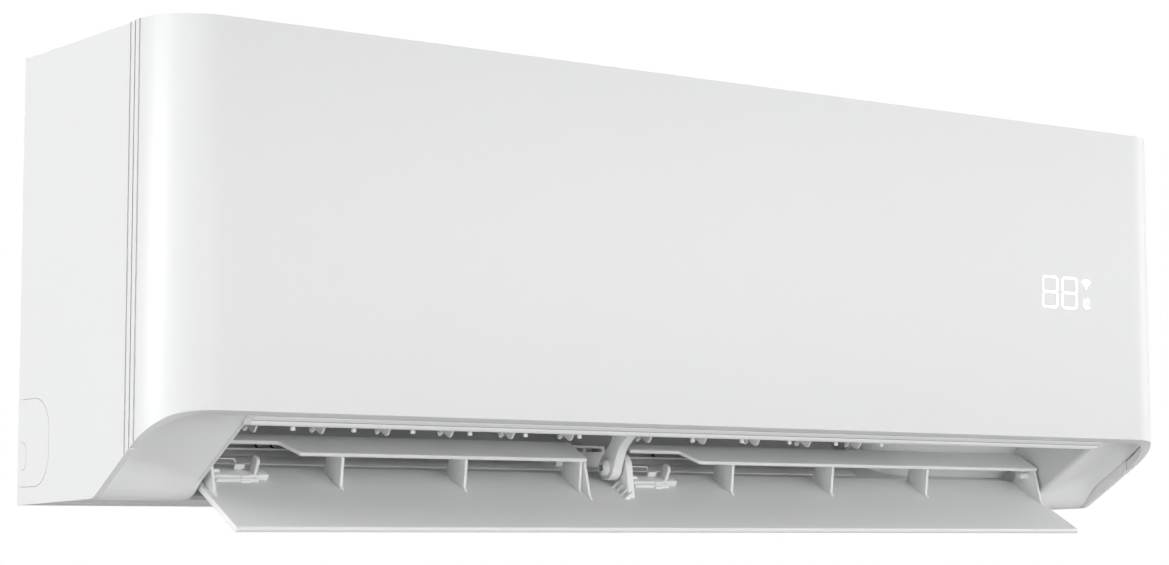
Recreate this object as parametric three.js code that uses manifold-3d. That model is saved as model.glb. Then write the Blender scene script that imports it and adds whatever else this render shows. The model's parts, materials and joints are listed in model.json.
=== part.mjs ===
// Indoor unit of a mini split air conditioner, in millimetres.
// Seen from the room, +X is to the right, -Y comes out of the wall and +Z is up.
// The origin is on the wall, at the middle of the unit's width and height.
// The pieces are drawn in a frame whose Z = 0 is the bottom of the case.
import * as THREE from "three";
import { mergeVertices } from "three/addons/utils/BufferGeometryUtils.js";
import Module from "manifold-3d";

const wasm = await Module();
wasm.setup();

const rad = THREE.MathUtils.degToRad;

// ---- Driving dimensions ---------------------------------------------------

// Case: outer shell and its seams
const CASE_W = 960; // over the two side walls
const CASE_H = 320; // bottom to top
const CASE_D = 219; // wall to the front face
const CORNER_R = 42; // vertical front corners, in plan
const BACK_EDGE_R = 3; // rounded rear edge of the underside, at the wall
const SIDE_WALL = 3.5; // casing side wall
const TOP_WALL = 3; // casing top wall
const PANEL_WALL = 3; // front panel wall
const FRAME_WALL = 2.5; // casing wall behind the panel
const SEAM_Y = -172; // where the panel's sides meet the casing's
const SEAM_GAP = 1.2; // width of that seam
const GROOVE_PITCH = 6.5; // groove on each side of the seam
const GROOVE_W = 2; // width of each groove
const GROOVE_DEPTH = 1.2; // depth of each groove
const PANEL_TOP_GAP = 0.5; // panel's top edge below the casing's top

// Underside: almost flat, then an incline that rounds off to the front edge
const BOTTOM_ANGLE = rad(1.5); // bottom, rising to the front
const INCLINE = rad(31.5); // sloped outlet side
const INCLINE_START = -120; // Y where the incline leaves the bottom
const FRONT_EDGE_H = 60; // height of the front face's lower edge
const BOTTOM_BEND_R = 20; // bend from the bottom to the incline
const FRONT_BEND_R = 44; // bend from the incline to the front edge
const RIM_W = 4.7; // rim band along the sides
const RIM_FRONT_W = 9.5; // rim band along the front
const RIM_H = 8; // height of the rim band

// Outlet mouth and its trims
const MOUTH_HALF_W = 409.3; // half the width of the mouth, over its side plates
const PLATE = 2.5; // side plates, floor, ceiling and volute
const WING_RECESS = 3.2; // wing faces above the rim plane
const WING_DEPTH = 14; // wings' back above the rim plane
const WING_WALL = 2.6; // wall of a wing
const DISH_R = 62; // radius of the wings' dish
const DISH_DEPTH = 8.6; // depth of the dish below its edge
const STRIP_RECESS = 0.5; // lip strip above the rim plane
const STRIP_W = 10.7; // lip strip, front to rear

// Louver: angles are those of its panel, front edge down, about its pivot
const PIVOT_Y = -124.4;
const PIVOT_Z = 30.3;
const LOUVER_ANGLE = rad(28.95); // as the photo shows it
const LOUVER_HALF_W = 404;
const LOUVER_DROP = 13.1; // pivot to the panel's top face
const LOUVER_THICK = 4.5;
const LOUVER_FRONT = 72; // pivot to the front edge
const LOUVER_REAR = 16.8; // pivot to the rear edge
const BLADE_RISE = 10.6; // pivot to the blade's top face
const BLADE_THICK = 3;
const BLADE_FRONT = 8.8; // pivot to the blade's front edge
const BLADE_REAR = 20.9; // pivot to the blade's rear edge
const NOTCH_FRONT = -5.2; // the same edge in a finger notch, behind the pivot
const NOTCH_W = 62; // length of a finger notch
const NOTCH_SLOPE = 13; // length of its slanted end
const RIB_THICK = 2.4;
const RIB_FOOT_FRONT = 17; // pivot to the front of a rib's foot
const WEB_FOOT_FRONT = 29; // the same on the end webs and the ear
const RIB_FOOT_REAR = 13.5; // pivot to the rear of a foot
const EAR_R = 12;
const EAR_THICK = 6;
const HUB_R = 9.5; // support arm's hub
const HUB_BORE_R = 5.2;
const ARM_X = -50.5; // middle of the support arm
const ARM_THICK = 9;
const SNAP_R = 4.7; // split snap pin
const SNAP_BARB = 1.1; // its barb past the hub's bore
const PIN_R = 2.5; // end pins of the louver
const RUN = 0.4; // running clearance round pins and shafts
const SEAT = 0.3; // gap between pieces that rest on each other

// Duct: floor and ceiling are parallel, s runs upstream and n across
const FLOW = rad(32); // air leaves at this angle below the horizontal
const CEILING_N = 60; // pivot to the ceiling
const FLOOR_N = 19; // pivot to the floor
const FLOOR_SWEEP_R = 26; // floor's end, round the louver's rear edge
const VOLUTE_R = 75; // lower bend of the volute
const FAN_Y = -90;
const FAN_Z = 134;
const FAN_R = 47;
const VOLUTE_GAP = 8.6; // fan to the volute at the rear
const FAN_LEFT = -398;
const FAN_RIGHT = 236;
const CHAMBER_RIGHT = 243; // outer face of the fan chamber's right wall
const BLADES = 16; // fan blades
const NOSE_R = 3; // rounded tongue next to the fan

// Vanes
const VANE_PITCH = 54;
const VANE_LEFT_X = -368; // first vane of the left group
const VANE_RIGHT_X = -24; // first vane of the right group
const VANES_LEFT = 6;
const VANES_RIGHT = 5;
const VANE_AXIS_S = 2.5; // pivot line of the vanes, along s
const VANE_FRONT = 4.8; // that line to the front edge
const VANE_REAR = 33.5; // that line to the rear edge
const VANE_LOW_N = 26; // front lower edge
const VANE_FOOT_N = 21.2; // lower edge at the link
const VANE_THICK = 1.6;
const LINK_ARM = 17; // pivot line to the link pins
const TIE_W = 3.2;
const TIE_H = 1.8;

// Evaporator blocks
const COIL_THICK = 24;
const COIL_LEFT = -388;
const COIL_RIGHT = 224;
const TUBE_PITCH = 21;
const BEND_TUBE_R = 3.5;

// Top tray and filters
const TRAY_IN = 14; // middle of the unit to a tray
const TRAY_OUT = 456;
const TRAY_BACK = -32;
const TRAY_FRONT = -188;
const TRAY_FLOOR = 304; // underside of the intake grille
const TRAY_WALL = 2;
const GRILLE_THICK = 2.5;
const GRILLE_COLUMNS = 8;
const GRILLE_BAR = 4;
const FILTER_H = 6;
const FILTER_BORDER = 7;
const FILTER_COLUMNS = 4;
const FILTER_GAP = 1; // round a filter in its tray

// Panel hinge, at the top behind the panel
const HINGE_X = 447.5;
const HINGE_Y = -206;
const HINGE_Z = 316;
const HINGE_PIN_R = 2;
const ARM_W = 3;
const BOSS_END = 5.2; // hinge boss, from the arm's side to its outer end
const TOP_CHAMFER = 2.2; // upper edges of the side walls

// Behind the unit
const BACK_Y = -10; // back face of the chassis
const BACK_WALL = 2.5;
const SHEET = 1.5; // steel sheet
const CHANNEL_TOP = 78; // pipe channel along the bottom
const CHANNEL_FRONT = -52.5;

const PAN_R = FAN_R + 7.2; // pan and tongue round the fan
const VOLUTE_END = 45; // degrees, end of the volute above the fan's axis
const BOTTOM_WALL = 3; // chassis bottom
const FLOOR_LIP_Y = -114.5; // front end of the chassis bottom
const MOUTH_FRONT = -206; // front edge of the mouth's side plates
const TROUGH_FLOOR = 176; // rear trough
const TROUGH_TOP = 190;
const CEILING_FRONT = -48.3; // front end of the ceiling, along s
const PAN_FRONT = -203.5; // front face of the drain pan
const PAN_FLOOR = 104; // inside the pan
const PAN_TOP = 120; // top of its front wall
const PAN_REAR_TOP = 114; // top of its wall at the fan
const PAN_RIGHT = 236; // right end of the pan's trough
const COVER_REAR = 60; // duct's closing wall at the fan chamber, along s
const COVER_FRONT = 27; // and where it runs straight to the right
const COVER_BEND_X = 290; // end of its bend
const FLOOR_RIBS = [-290, -110, 70, 330]; // under the duct's floor
const RIB_HOLE = [-72, 17]; // hole through each, in (Y, Z)
const RIB_HOLE_R = 8;
const WING_REAR = -117.5; // rear end of the wings
const DISH_RUN = 64; // half the length of the dish

// Drive parts
const SHAFT_R = 4; // fan shaft
const BUSH_R = 12;
const MOTOR_X0 = 258; // left end of the fan motor
const MOTOR_L = 76;
const MOTOR_R = 42;
const CRADLE_R = 16; // rubber bosses at its ends
const SADDLE_W = 5;
const SADDLES = [MOTOR_X0 + 1.5, MOTOR_X0 + MOTOR_L - 1.5 - SADDLE_W];
const STEPPER_X = -418; // face of the louver's stepper motor
const STEPPER_R = 12;
const STEPPER_L = 19;
const STEPPER_OFFSET = 8; // its body from its shaft
const STEPPER_LEAN = rad(60); // direction of that offset
const EAR_PITCH = 15.5; // half the pitch of its screw ears
const STEP_R = 9; // vane stepper
const STEP_H = 11;
const VANE_PIN_R = 1.5;
const LINK_PIN_R = 1.1;
const BEND_R = TUBE_PITCH / 2; // return bends of the coils

// Case details
const FRAME_INSET = 5.8; // front frame inside the side faces
const FRAME_FRONT = 7; // and at the front
const FRAME_Y = -168; // where it leaves the side walls
const STRIP_HALF = MOUTH_HALF_W;
const STRIP_FRONT = -CASE_D + RIM_FRONT_W + 0.8;
const STRIP_TOP = 71.5;
const TOP_INSET = 4.5; // casing top inside the panel's top edge
const TOP_CORNER_R = 49; // its front corners, rounder than the panel's, which swing past them
const FRAME_WINDOWS = [[-445, -25], [-5, 240]];
const WINDOW_LOW = 128;
const WINDOW_HIGH = 298;
const GRILLE_ROWS = 2;
const CATCHES = [-250, 250]; // panel catches
const CATCH_W = 16;
const CATCH_LOW = 95;
const CATCH_HIGH = 103;
const COVER_D = 50; // pipe cover from the wall
const COVER_LOW = 12.8;
const COVER_HIGH = 74;
const COVER_THICK = 2.2;
const PLUG_D = 13.6; // knock-out in the pipe cover
const PLUG_LOW = 24.6;
const PLUG_HIGH = 43.5;
const PLATE_W = 820; // wall plate
const PLATE_LOW = 58;
const PLATE_HIGH = 300;
const HOOKS = [-300, 300]; // hooks of the wall plate
const HOOK_W = 24;
const HOOK_Z = 276;
const HOOK_LIP = 7;

// Electrics and display
const BOX_X0 = 345; // electrical box
const BOX_X1 = 455;
const BOX_FRONT = -200;
const BOX_REAR = -70;
const BOX_LOW = 112;
const BOX_HIGH = 296;
const BOX_WALL = 2;
const DISPLAY_X0 = 312;
const DISPLAY_X1 = 392;
const DISPLAY_LOW = 156;
const DISPLAY_HIGH = 202;
const BUTTON_X = 300;
const BUTTON_Z = 118;
const BUTTON_R = 4;

// Pipework
const PIPE_GAS_R = 6.35;
const PIPE_LIQUID_R = 3.2;
const PIPE_GAS_X = 251; // where each pipe comes down
const PIPE_LIQUID_X = 259;
const PIPE_GAS_Y = -30;
const PIPE_LIQUID_Y = -22;
const PIPE_GAS_Z = 56; // height of each pipe in the channel
const PIPE_LIQUID_Z = 30;
const PIPE_END_X = -60;
const SPIGOT = [-188, 111.8]; // drain spigot in (Y, Z)
const SPIGOT_R = 7;
const SPIGOT_BORE_R = 5.4;
const BOARD_STAND = 10; // electrical box's rear to the control board
const PIPE_START_X = COIL_RIGHT + SHEET + 2 * SEAT;

// Louver: places along it, about the pivot
const LEFT_CHEEK = -397.5; // inner face of each cheek
const RIGHT_CHEEK = 401;
const WEBS = [-83.5, LEFT_CHEEK, RIGHT_CHEEK];
const RIBS = [-293.5, -188.5, 64.4, 169.3, 274.9];
const EAR_X = -38; // right face of the ear
const BLADE_SPANS = { left: [-LOUVER_HALF_W, -82], right: [-28, LOUVER_HALF_W] };
const NOTCH_ENDS = { left: -LOUVER_HALF_W + NOTCH_W, right: 20 };
const LATCHES = { left: [-389, LEFT_CHEEK], centre: [-26, EAR_X - EAR_THICK] };
const LATCH_L = 43; // rails of a latch
const LATCH_TRAVEL = 8;
const BOLT_R = 1.6;
const LATCH_AXIS = [0.9, -8.6]; // bolt in the louver's own (y, z)

const FINEST = 0.02; // detail smaller than this is left out of a mesh

// ---- Solids ---------------------------------------------------------------

/** A closed geometry as a solid that can be joined and cut. */
function solid(shape) {
  if (!shape.isBufferGeometry) return shape;
  const bare = new THREE.BufferGeometry();
  bare.setAttribute("position", shape.getAttribute("position"));
  bare.setIndex(shape.index);
  const merged = mergeVertices(bare, 1e-4);
  return new wasm.Manifold(
    new wasm.Mesh({
      numProp: 3,
      vertProperties: new Float32Array(merged.attributes.position.array),
      triVerts: new Uint32Array(merged.index.array),
    }),
  );
}

const join = (first, ...rest) => rest.reduce((a, b) => a.add(solid(b)), solid(first));
const cut = (first, ...rest) => rest.reduce((a, b) => a.subtract(solid(b)), solid(first));
const common = (first, ...rest) => rest.reduce((a, b) => a.intersect(solid(b)), solid(first));

/** A named mesh from a solid or a geometry. */
function piece(name, shape, material) {
  const mesh = solid(shape).simplify(FINEST).getMesh();
  const geometry = new THREE.BufferGeometry();
  geometry.setAttribute("position", new THREE.BufferAttribute(mesh.vertProperties, 3));
  geometry.setIndex(new THREE.BufferAttribute(mesh.triVerts, 1));
  geometry.computeVertexNormals();
  const made = new THREE.Mesh(geometry, material);
  made.name = name;
  return made;
}

// Turns an outline's (u, v) and its depth into X, Y and Z.
const TURNS = {
  x: new THREE.Matrix4().set(0, 0, 1, 0, 1, 0, 0, 0, 0, 1, 0, 0, 0, 0, 0, 1),
  y: new THREE.Matrix4().set(1, 0, 0, 0, 0, 0, -1, 0, 0, 1, 0, 0, 0, 0, 0, 1),
  z: new THREE.Matrix4(),
};

/** A prism: an outline in (Y, Z), (X, Z) or (X, Y), extruded along the axis left over. */
function prism(axis, outline, from, to, holes = []) {
  const path = (points) => points.map(([u, v]) => new THREE.Vector2(u, v));
  const shape = new THREE.Shape(path(outline));
  shape.holes = holes.map((hole) => new THREE.Path(path(hole)));
  const low = Math.min(from, to);
  const high = Math.max(from, to);
  const made = new THREE.ExtrudeGeometry(shape, { depth: high - low, bevelEnabled: false });
  made.translate(0, 0, axis === "y" ? -high : low);
  return made.applyMatrix4(TURNS[axis]);
}

/** A box from two opposite corners. */
function box([x0, y0, z0], [x1, y1, z1]) {
  const made = new THREE.BoxGeometry(Math.abs(x1 - x0), Math.abs(y1 - y0), Math.abs(z1 - z0));
  return made.translate((x0 + x1) / 2, (y0 + y1) / 2, (z0 + z1) / 2);
}

/** Points on an arc, angles in degrees. */
function arc([u, v], radius, from, to, steps = 8) {
  return Array.from({ length: steps + 1 }, (_, i) => {
    const angle = rad(from + ((to - from) * i) / steps);
    return [u + radius * Math.cos(angle), v + radius * Math.sin(angle)];
  });
}

const circle = (centre, radius, sides = 16) => arc(centre, radius, 0, 360 - 360 / sides, sides - 1);
const rod = (axis, centre, radius, from, to, sides = 16) =>
  prism(axis, circle(centre, radius, sides), from, to);

const plus = (a, b, k = 1) => a.map((value, i) => value + k * b[i]);
const unit = (a) => a.map((value) => value / Math.hypot(...a));

/** A path through corners [point, radius], each corner rounded; closed or open, in 2-D or 3-D. */
function rounded(corners, closed = true, steps = 5) {
  const count = corners.length;
  return corners.flatMap(([point, radius], i) => {
    if (!radius || (!closed && (i === 0 || i === count - 1))) return [point];
    const back = unit(plus(corners[(i + count - 1) % count][0], point, -1));
    const ahead = unit(plus(corners[(i + 1) % count][0], point, -1));
    const half = Math.acos(back.reduce((sum, value, k) => sum + value * ahead[k], 0)) / 2;
    const centre = plus(point, unit(plus(back, ahead)), radius / Math.sin(half));
    const start = plus(point, back, radius / Math.tan(half));
    const outward = unit(plus(start, centre, -1));
    return Array.from({ length: steps + 1 }, (_, k) => {
      const angle = ((Math.PI - 2 * half) * k) / steps;
      return plus(plus(centre, outward, radius * Math.cos(angle)), back, -radius * Math.sin(angle));
    });
  });
}

/** The outline of a sheet of even thickness on the left of an open path. */
function sheet(path, thickness) {
  const offset = path.map((point, i) => {
    const before = unit(plus(point, path[Math.max(i - 1, 0)], -1).map((v) => v || 0));
    const after = unit(plus(path[Math.min(i + 1, path.length - 1)], point, -1));
    const sides = [i ? before : after, i < path.length - 1 ? after : before];
    const normals = sides.map(([u, v]) => [-v, u]);
    const mean = unit(plus(normals[0], normals[1]));
    const stretch = mean[0] * normals[0][0] + mean[1] * normals[0][1];
    return plus(point, mean, thickness / stretch);
  });
  return [...path, ...offset.reverse()];
}

// ---- Shared forms ---------------------------------------------------------

/** Where a point of the duct, s upstream and n across from the pivot, lies in (Y, Z). */
const duct = (s, n) => [
  PIVOT_Y + s * Math.cos(FLOW) - n * Math.sin(FLOW),
  PIVOT_Z + s * Math.sin(FLOW) + n * Math.cos(FLOW),
];

/** The unit's underside in (Y, Z), from the wall to the front, moved inwards by an offset. */
function underside(offset) {
  const lift = offset / Math.cos(BOTTOM_ANGLE);
  const rise = Math.tan(BOTTOM_ANGLE);
  const slope = Math.tan(INCLINE);
  const inclineLift = -INCLINE_START * rise + offset / Math.cos(INCLINE);
  const bendY = -(inclineLift + slope * INCLINE_START - lift) / (rise - slope);
  const frontZ = FRONT_EDGE_H + offset;
  const edgeY = INCLINE_START - (frontZ - inclineLift) / slope;
  return rounded(
    [
      [[BACK_EDGE_R, lift - BACK_EDGE_R * rise], 0],
      [[bendY, lift - bendY * rise], BOTTOM_BEND_R - offset > 1 ? BOTTOM_BEND_R - offset : 0],
      [[edgeY, frontZ], FRONT_BEND_R + offset],
      [[edgeY - CASE_D / 2, frontZ], 0],
    ],
    false,
    6,
  );
}

/** Everything above the underside, as wide as asked. */
function above(offset, halfWidth = CASE_W) {
  const line = underside(offset);
  const last = line[line.length - 1];
  return prism("x", [...line, [last[0], 2 * CASE_H], [line[0][0], 2 * CASE_H]], -halfWidth, halfWidth);
}

/** The band between two offsets of the underside. */
function band(from, to, x0, x1) {
  return prism("x", [...underside(from), ...underside(to).reverse()], x0, x1);
}

/** The case's plan from seam to seam, drawn in by a side and a front inset. */
function plan(sideInset, frontInset = sideInset, end = SEAM_Y, fullRadius = CORNER_R) {
  const x = CASE_W / 2 - sideInset;
  const y = -CASE_D + frontInset;
  const radius = fullRadius - Math.min(sideInset, frontInset);
  return rounded([[[-x, end], 0], [[-x, y], radius], [[x, y], radius], [[x, end], 0]], false, 8);
}

/** A wall that follows the plan, between two insets. */
const planWall = (outer, inner, z0, z1) => prism("z", [...outer, ...inner.reverse()], z0, z1);

const sides = [-1, 1];
const sideName = (side) => (side < 0 ? "left" : "right");

/** Something drawn in the duct's frame (X, s, n), put in place. */
const inDuct = (shape) => shape.rotateX(FLOW).translate(0, PIVOT_Y, PIVOT_Z);

/** Something drawn about the louver's pivot, its panel level, put in place. */
const inLouver = (shape) => shape.rotateX(LOUVER_ANGLE).translate(0, PIVOT_Y, PIVOT_Z);

/** The (s, n) of a point in (Y, Z). */
const toDuct = ([y, z]) => [
  (y - PIVOT_Y) * Math.cos(FLOW) + (z - PIVOT_Z) * Math.sin(FLOW),
  (z - PIVOT_Z) * Math.cos(FLOW) - (y - PIVOT_Y) * Math.sin(FLOW),
];

const pivot = [PIVOT_Y, PIVOT_Z];
const stepperBody = plus(pivot, [Math.cos(STEPPER_LEAN), Math.sin(STEPPER_LEAN)], STEPPER_OFFSET);
const fanCentre = [FAN_Y, FAN_Z];
const degrees = THREE.MathUtils.radToDeg;
const rectangle = (u0, v0, u1, v1, radius = 0) =>
  rounded([[[u0, v0], radius], [[u1, v0], radius], [[u1, v1], radius], [[u0, v1], radius]], true, 3);

/** A round-cornered slot, centred. */
const slot = (u, v, width, height) => {
  const [x, y] = [width / 2, height / 2];
  const radius = Math.min(x, y) * 0.99;
  return rounded(
    [
      [[u - x, v - y], radius], [[u + x, v - y], radius], [[u + x, v + y], radius],
      [[u - x, v + y], radius],
    ],
    true, 1,
  );
};

/** A route that is swept vertex by vertex. */
class Route extends THREE.Curve {
  constructor(points) {
    super();
    this.points = points.map((point) => new THREE.Vector3(...point));
  }
  getPoint(t) {
    const place = Math.min(Math.max(t, 0), 1) * (this.points.length - 1);
    const index = Math.min(Math.floor(place), this.points.length - 2);
    return this.points[index].clone().lerp(this.points[index + 1], place - index);
  }
  getPointAt(u) {
    return this.getPoint(u);
  }
  getTangentAt(u) {
    return this.getTangent(u);
  }
}

/** A round bar along a route. */
function bar(points, radius, count = 10) {
  const section = new THREE.Shape(circle([0, 0], radius, count).map(([u, v]) => new THREE.Vector2(u, v)));
  return new THREE.ExtrudeGeometry(section, {
    steps: points.length - 1,
    extrudePath: new Route(points),
    bevelEnabled: false,
  });
}

/** A turned piece along X: its profile is [x, radius] from end to end. */
function turned(profile, [y, z], count = 28) {
  const points = profile.map(([x, radius]) => new THREE.Vector2(radius, x));
  const made = new THREE.LatheGeometry(points, count);
  return made.rotateZ(-Math.PI / 2).translate(0, y, z);
}

// ---- Case -----------------------------------------------------------------

/** The duct's inside as one solid: mouth, volute and fan chamber. */
function ductVoid(x0, x1) {
  return prism("x", [...floorPath(), ...arc(fanCentre, PAN_R, 60, 200, 7), duct(-70, CEILING_N)], x0, x1);
}

/** The floor's path from its end at the louver up the volute. */
function floorPath() {
  const rear = FAN_Y + FAN_R + VOLUTE_GAP;
  const run = (rear - duct(0, -FLOOR_N)[0]) / Math.cos(FLOW);
  const bend = [[duct(0, -FLOOR_N), 0], [duct(run, -FLOOR_N), VOLUTE_R], [[rear, FAN_Z], 0]];
  const end = degrees(FLOW) - degrees(Math.asin(FLOOR_N / FLOOR_SWEEP_R));
  return [
    ...arc(pivot, FLOOR_SWEEP_R, -64, end, 4),
    ...rounded(bend, false, 6).slice(1),
    ...arc(fanCentre, FAN_R + VOLUTE_GAP, 0, VOLUTE_END, 4).slice(1),
  ];
}

function bottomWall() {
  const half = CASE_W / 2 - SIDE_WALL - RUN;
  return common(band(0, BOTTOM_WALL, -half, half), box([-half, FLOOR_LIP_Y, -10], [half, -2, 20]));
}

function sidePlate(x0, x1, outline) {
  const plate = prism("x", outline, x0, x1);
  const rear = box([x0, FLOOR_LIP_Y, -10], [x1, 0, CASE_H]);
  return join(common(plate, above(WING_RECESS)), common(plate, above(BOTTOM_WALL / 2), rear));
}

function chassis() {
  const inner = MOUTH_HALF_W - PLATE;
  const channelHalf = CASE_W / 2 - SIDE_WALL - 4.5;
  const backTop = CASE_H - TOP_WALL - SEAT;
  const volute = prism("x", sheet(floorPath(), -PLATE), -MOUTH_HALF_W, CHAMBER_RIGHT);
  const floor = prism(
    "x",
    sheet([...floorPath().slice(0, 5), duct(COVER_REAR + 4, -FLOOR_N)], -PLATE),
    CHAMBER_RIGHT - 1,
    MOUTH_HALF_W,
  );
  const trough = sheet(
    [
      [-50, TROUGH_TOP], [-50, TROUGH_FLOOR], [-22, TROUGH_FLOOR], [-22, TROUGH_TOP],
      [BACK_Y - 1, TROUGH_TOP],
    ],
    -BACK_WALL,
  );
  const channel = join(
    box([-channelHalf, CHANNEL_FRONT - PLATE, 1], [channelHalf, CHANNEL_FRONT, CHANNEL_TOP + PLATE]),
    box([-channelHalf, CHANNEL_FRONT - PLATE, CHANNEL_TOP], [channelHalf, -2, CHANNEL_TOP + PLATE]),
  );
  const ribs = FLOOR_RIBS.map((x) =>
    cut(
      common(box([x, FLOOR_LIP_Y + 2.5, 0], [x + 2, CHANNEL_FRONT - 1, 62]), above(BOTTOM_WALL / 2)),
      ductVoid(-inner, inner),
      rod("x", RIB_HOLE, RIB_HOLE_R, x - 1, x + 3, 8),
    ),
  );
  const leftPlate = sidePlate(-MOUTH_HALF_W, -inner, [
    [BACK_Y - 1, -5], [MOUTH_FRONT, -5], [MOUTH_FRONT, 112], [-152, 196], [BACK_Y - 1, 196],
  ]);
  const rightPlate = sidePlate(inner, MOUTH_HALF_W, [
    [FLOOR_LIP_Y, -5], [MOUTH_FRONT, -5], [MOUTH_FRONT, 68],
    duct(38, CEILING_N + PLATE + 1), duct(38, -FLOOR_N - PLATE),
  ]);
  const chamberWall = prism(
    "x",
    [duct(COVER_REAR, -FLOOR_N - 1), ...floorPath().slice(6),
      ...arc(fanCentre, PAN_R - 0.8, 60, 235, 9)],
    CHAMBER_RIGHT - PLATE,
    CHAMBER_RIGHT,
  );
  const saddles = SADDLES.map((x) =>
    cut(
      box([x, FAN_Y - 32, 1], [x + SADDLE_W, FAN_Y + 34, FAN_Z]),
      rod("x", fanCentre, CRADLE_R + SEAT, x - 1, x + SADDLE_W + 1),
      prism("x", [duct(-90, -60), duct(42, -60), duct(42, 70), duct(-90, 70)], x - 1, x + SADDLE_W + 1),
    ),
  );
  const posts = sides.map((side) =>
    rod("x", plus(stepperBody, [side * EAR_PITCH, 0]), 3,
      -MOUTH_HALF_W + 1, STEPPER_X + SEAT, 12),
  );
  const shell = join(bottomWall(), channel,
    box([-channelHalf, BACK_Y - BACK_WALL, CHANNEL_TOP], [channelHalf, BACK_Y, backTop]),
    ...ribs, ...saddles, leftPlate);
  return join(
    cut(
      join(cut(shell, ductVoid(-inner, CHAMBER_RIGHT - PLATE)), volute, floor, rightPlate, chamberWall,
        prism("x", trough, -MOUTH_HALF_W, CHAMBER_RIGHT)),
      ...HOOKS.map((x) => box(
        [x - HOOK_W / 2 - 3, -20, HOOK_Z - 8], [x + HOOK_W / 2 + 3, 0, HOOK_Z + SHEET + SEAT],
      )),
      box([-MOUTH_HALF_W - 1, CHANNEL_FRONT, BOTTOM_WALL + 2], [-inner + 1, 0, CHANNEL_TOP]),
      box([PIPE_GAS_X - 8, -39, CHANNEL_TOP - 1], [PIPE_LIQUID_X + 6, -15, CHANNEL_TOP + PLATE + 1]),
      rod("x", fanCentre, BUSH_R + SEAT, -MOUTH_HALF_W - 1, -inner + 1),
      rod("x", fanCentre, SHAFT_R + 5, CHAMBER_RIGHT - PLATE - 1, CHAMBER_RIGHT + 1),
      rod("x", pivot, PIN_R + 1, -MOUTH_HALF_W - 1, -inner + 1, 16),
      rod("x", pivot, PIN_R + SEAT, inner - 1, MOUTH_HALF_W + 1, 16),
      rod("x", SPIGOT, SPIGOT_R + RUN, -MOUTH_HALF_W - 1, -inner + 1, 20),
    ),
    ...posts,
  );
}

/** The D-shaped outline of a cover at the wall side of the case, in (Y, Z). */
const coverOutline = (depth, z0, z1, grow = 0) =>
  rounded(
    [[[4, z0 - grow], 0], [[-depth - grow, z0 - grow], 22 * (depth / COVER_D)],
      [[-depth - grow, z1 + grow], 22 * (depth / COVER_D)], [[4, z1 + grow], 0]],
    true,
    6,
  );

function pipeCover(side, hole) {
  const outer = (side * CASE_W) / 2;
  const plate = prism("x", coverOutline(COVER_D, COVER_LOW, COVER_HIGH), outer, outer - side * COVER_THICK);
  const trimmed = cut(plate, box([-CASE_W, 0, 0], [CASE_W, 10, CASE_H]));
  return hole
    ? cut(
      trimmed,
      prism("x", coverOutline(PLUG_D, PLUG_LOW, PLUG_HIGH, SEAT), outer + side, outer - 9 * side),
    )
    : trimmed;
}

function pipePlug() {
  const outer = -CASE_W / 2;
  const plate = prism("x", coverOutline(PLUG_D, PLUG_LOW, PLUG_HIGH), outer, outer + COVER_THICK);
  return cut(plate, box([-CASE_W, 0, 0], [CASE_W, 10, CASE_H]));
}

/** Where the panel's arms and the hinge bosses pass, at one side. */
const hingeNotch = (side, reach) =>
  box(
    [side * (HINGE_X - ARM_W / 2 - 1), -CASE_D, HINGE_Z - 8],
    [side * (HINGE_X + ARM_W / 2 + reach), HINGE_Y + 7, CASE_H + 1],
  );

/** The side groove next to the seam, at a Y. */
const sideGroove = (side, y) =>
  box(
    [side * (CASE_W / 2 - GROOVE_DEPTH), y - GROOVE_W / 2, -10],
    [side * (CASE_W / 2 + 1), y + GROOVE_W / 2, CASE_H + 1],
  );

function casing() {
  const half = CASE_W / 2;
  const end = SEAM_Y + SEAM_GAP / 2;
  const tray = (side, grow, z0, z1) =>
    box([side * (TRAY_IN - grow), TRAY_FRONT - grow, z0], [side * (TRAY_OUT + grow), TRAY_BACK + grow, z1]);
  const top = prism(
    "z", [[-half, 0], ...plan(TOP_INSET, TOP_INSET, end, TOP_CORNER_R), [half, 0]], CASE_H - TOP_WALL,
    CASE_H,
  );
  const forEachSide = (side) => [
    common(box([side * half, end, 0], [side * (half - SIDE_WALL), 0, CASE_H]), above(0)),
    common(
      band(0, RIM_H, -half, half),
      box([side * half, end, 0], [side * (half - RIM_W), INCLINE_START, 60]),
    ),
    prism(
      "x",
      [[HINGE_Y + 5, CASE_H - 1], [HINGE_Y - 4, CASE_H - 1], ...arc([HINGE_Y, HINGE_Z], 4.6, 180, 360, 6)],
      side * (HINGE_X + ARM_W / 2 + 1.2),
      side * (HINGE_X + ARM_W / 2 + BOSS_END),
    ),
    tray(side, TRAY_WALL, TRAY_FLOOR, CASE_H),
  ];
  const takenAway = (side) => [
    tray(side, 0, TRAY_FLOOR + GRILLE_THICK, CASE_H + 1),
    ...grilleSlots(side, TRAY_FLOOR - 1, TRAY_FLOOR + GRILLE_THICK + 1),
    sideGroove(side, SEAM_Y + GROOVE_PITCH),
    hingeNotch(side, 1),
    rod("x", [HINGE_Y, HINGE_Z], HINGE_PIN_R + RUN, side * HINGE_X, side * (HINGE_X + 12)),
    prism("x", coverOutline(COVER_D, COVER_LOW, COVER_HIGH, SEAT), side * (half + 1),
      side * (half - COVER_THICK - SEAT)),
    prism("x", coverOutline(COVER_D - 2, COVER_LOW + 2, COVER_HIGH - 2), side * half, side * (half - 9)),
    prism("y", [[side * (half - TOP_CHAMFER), CASE_H + 1], [side * (half + 1), CASE_H + 1],
      [side * (half + 1), CASE_H - TOP_CHAMFER]], -CASE_D, 1),
  ];
  return cut(join(top, ...sides.flatMap(forEachSide)), ...sides.flatMap(takenAway));
}

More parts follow.
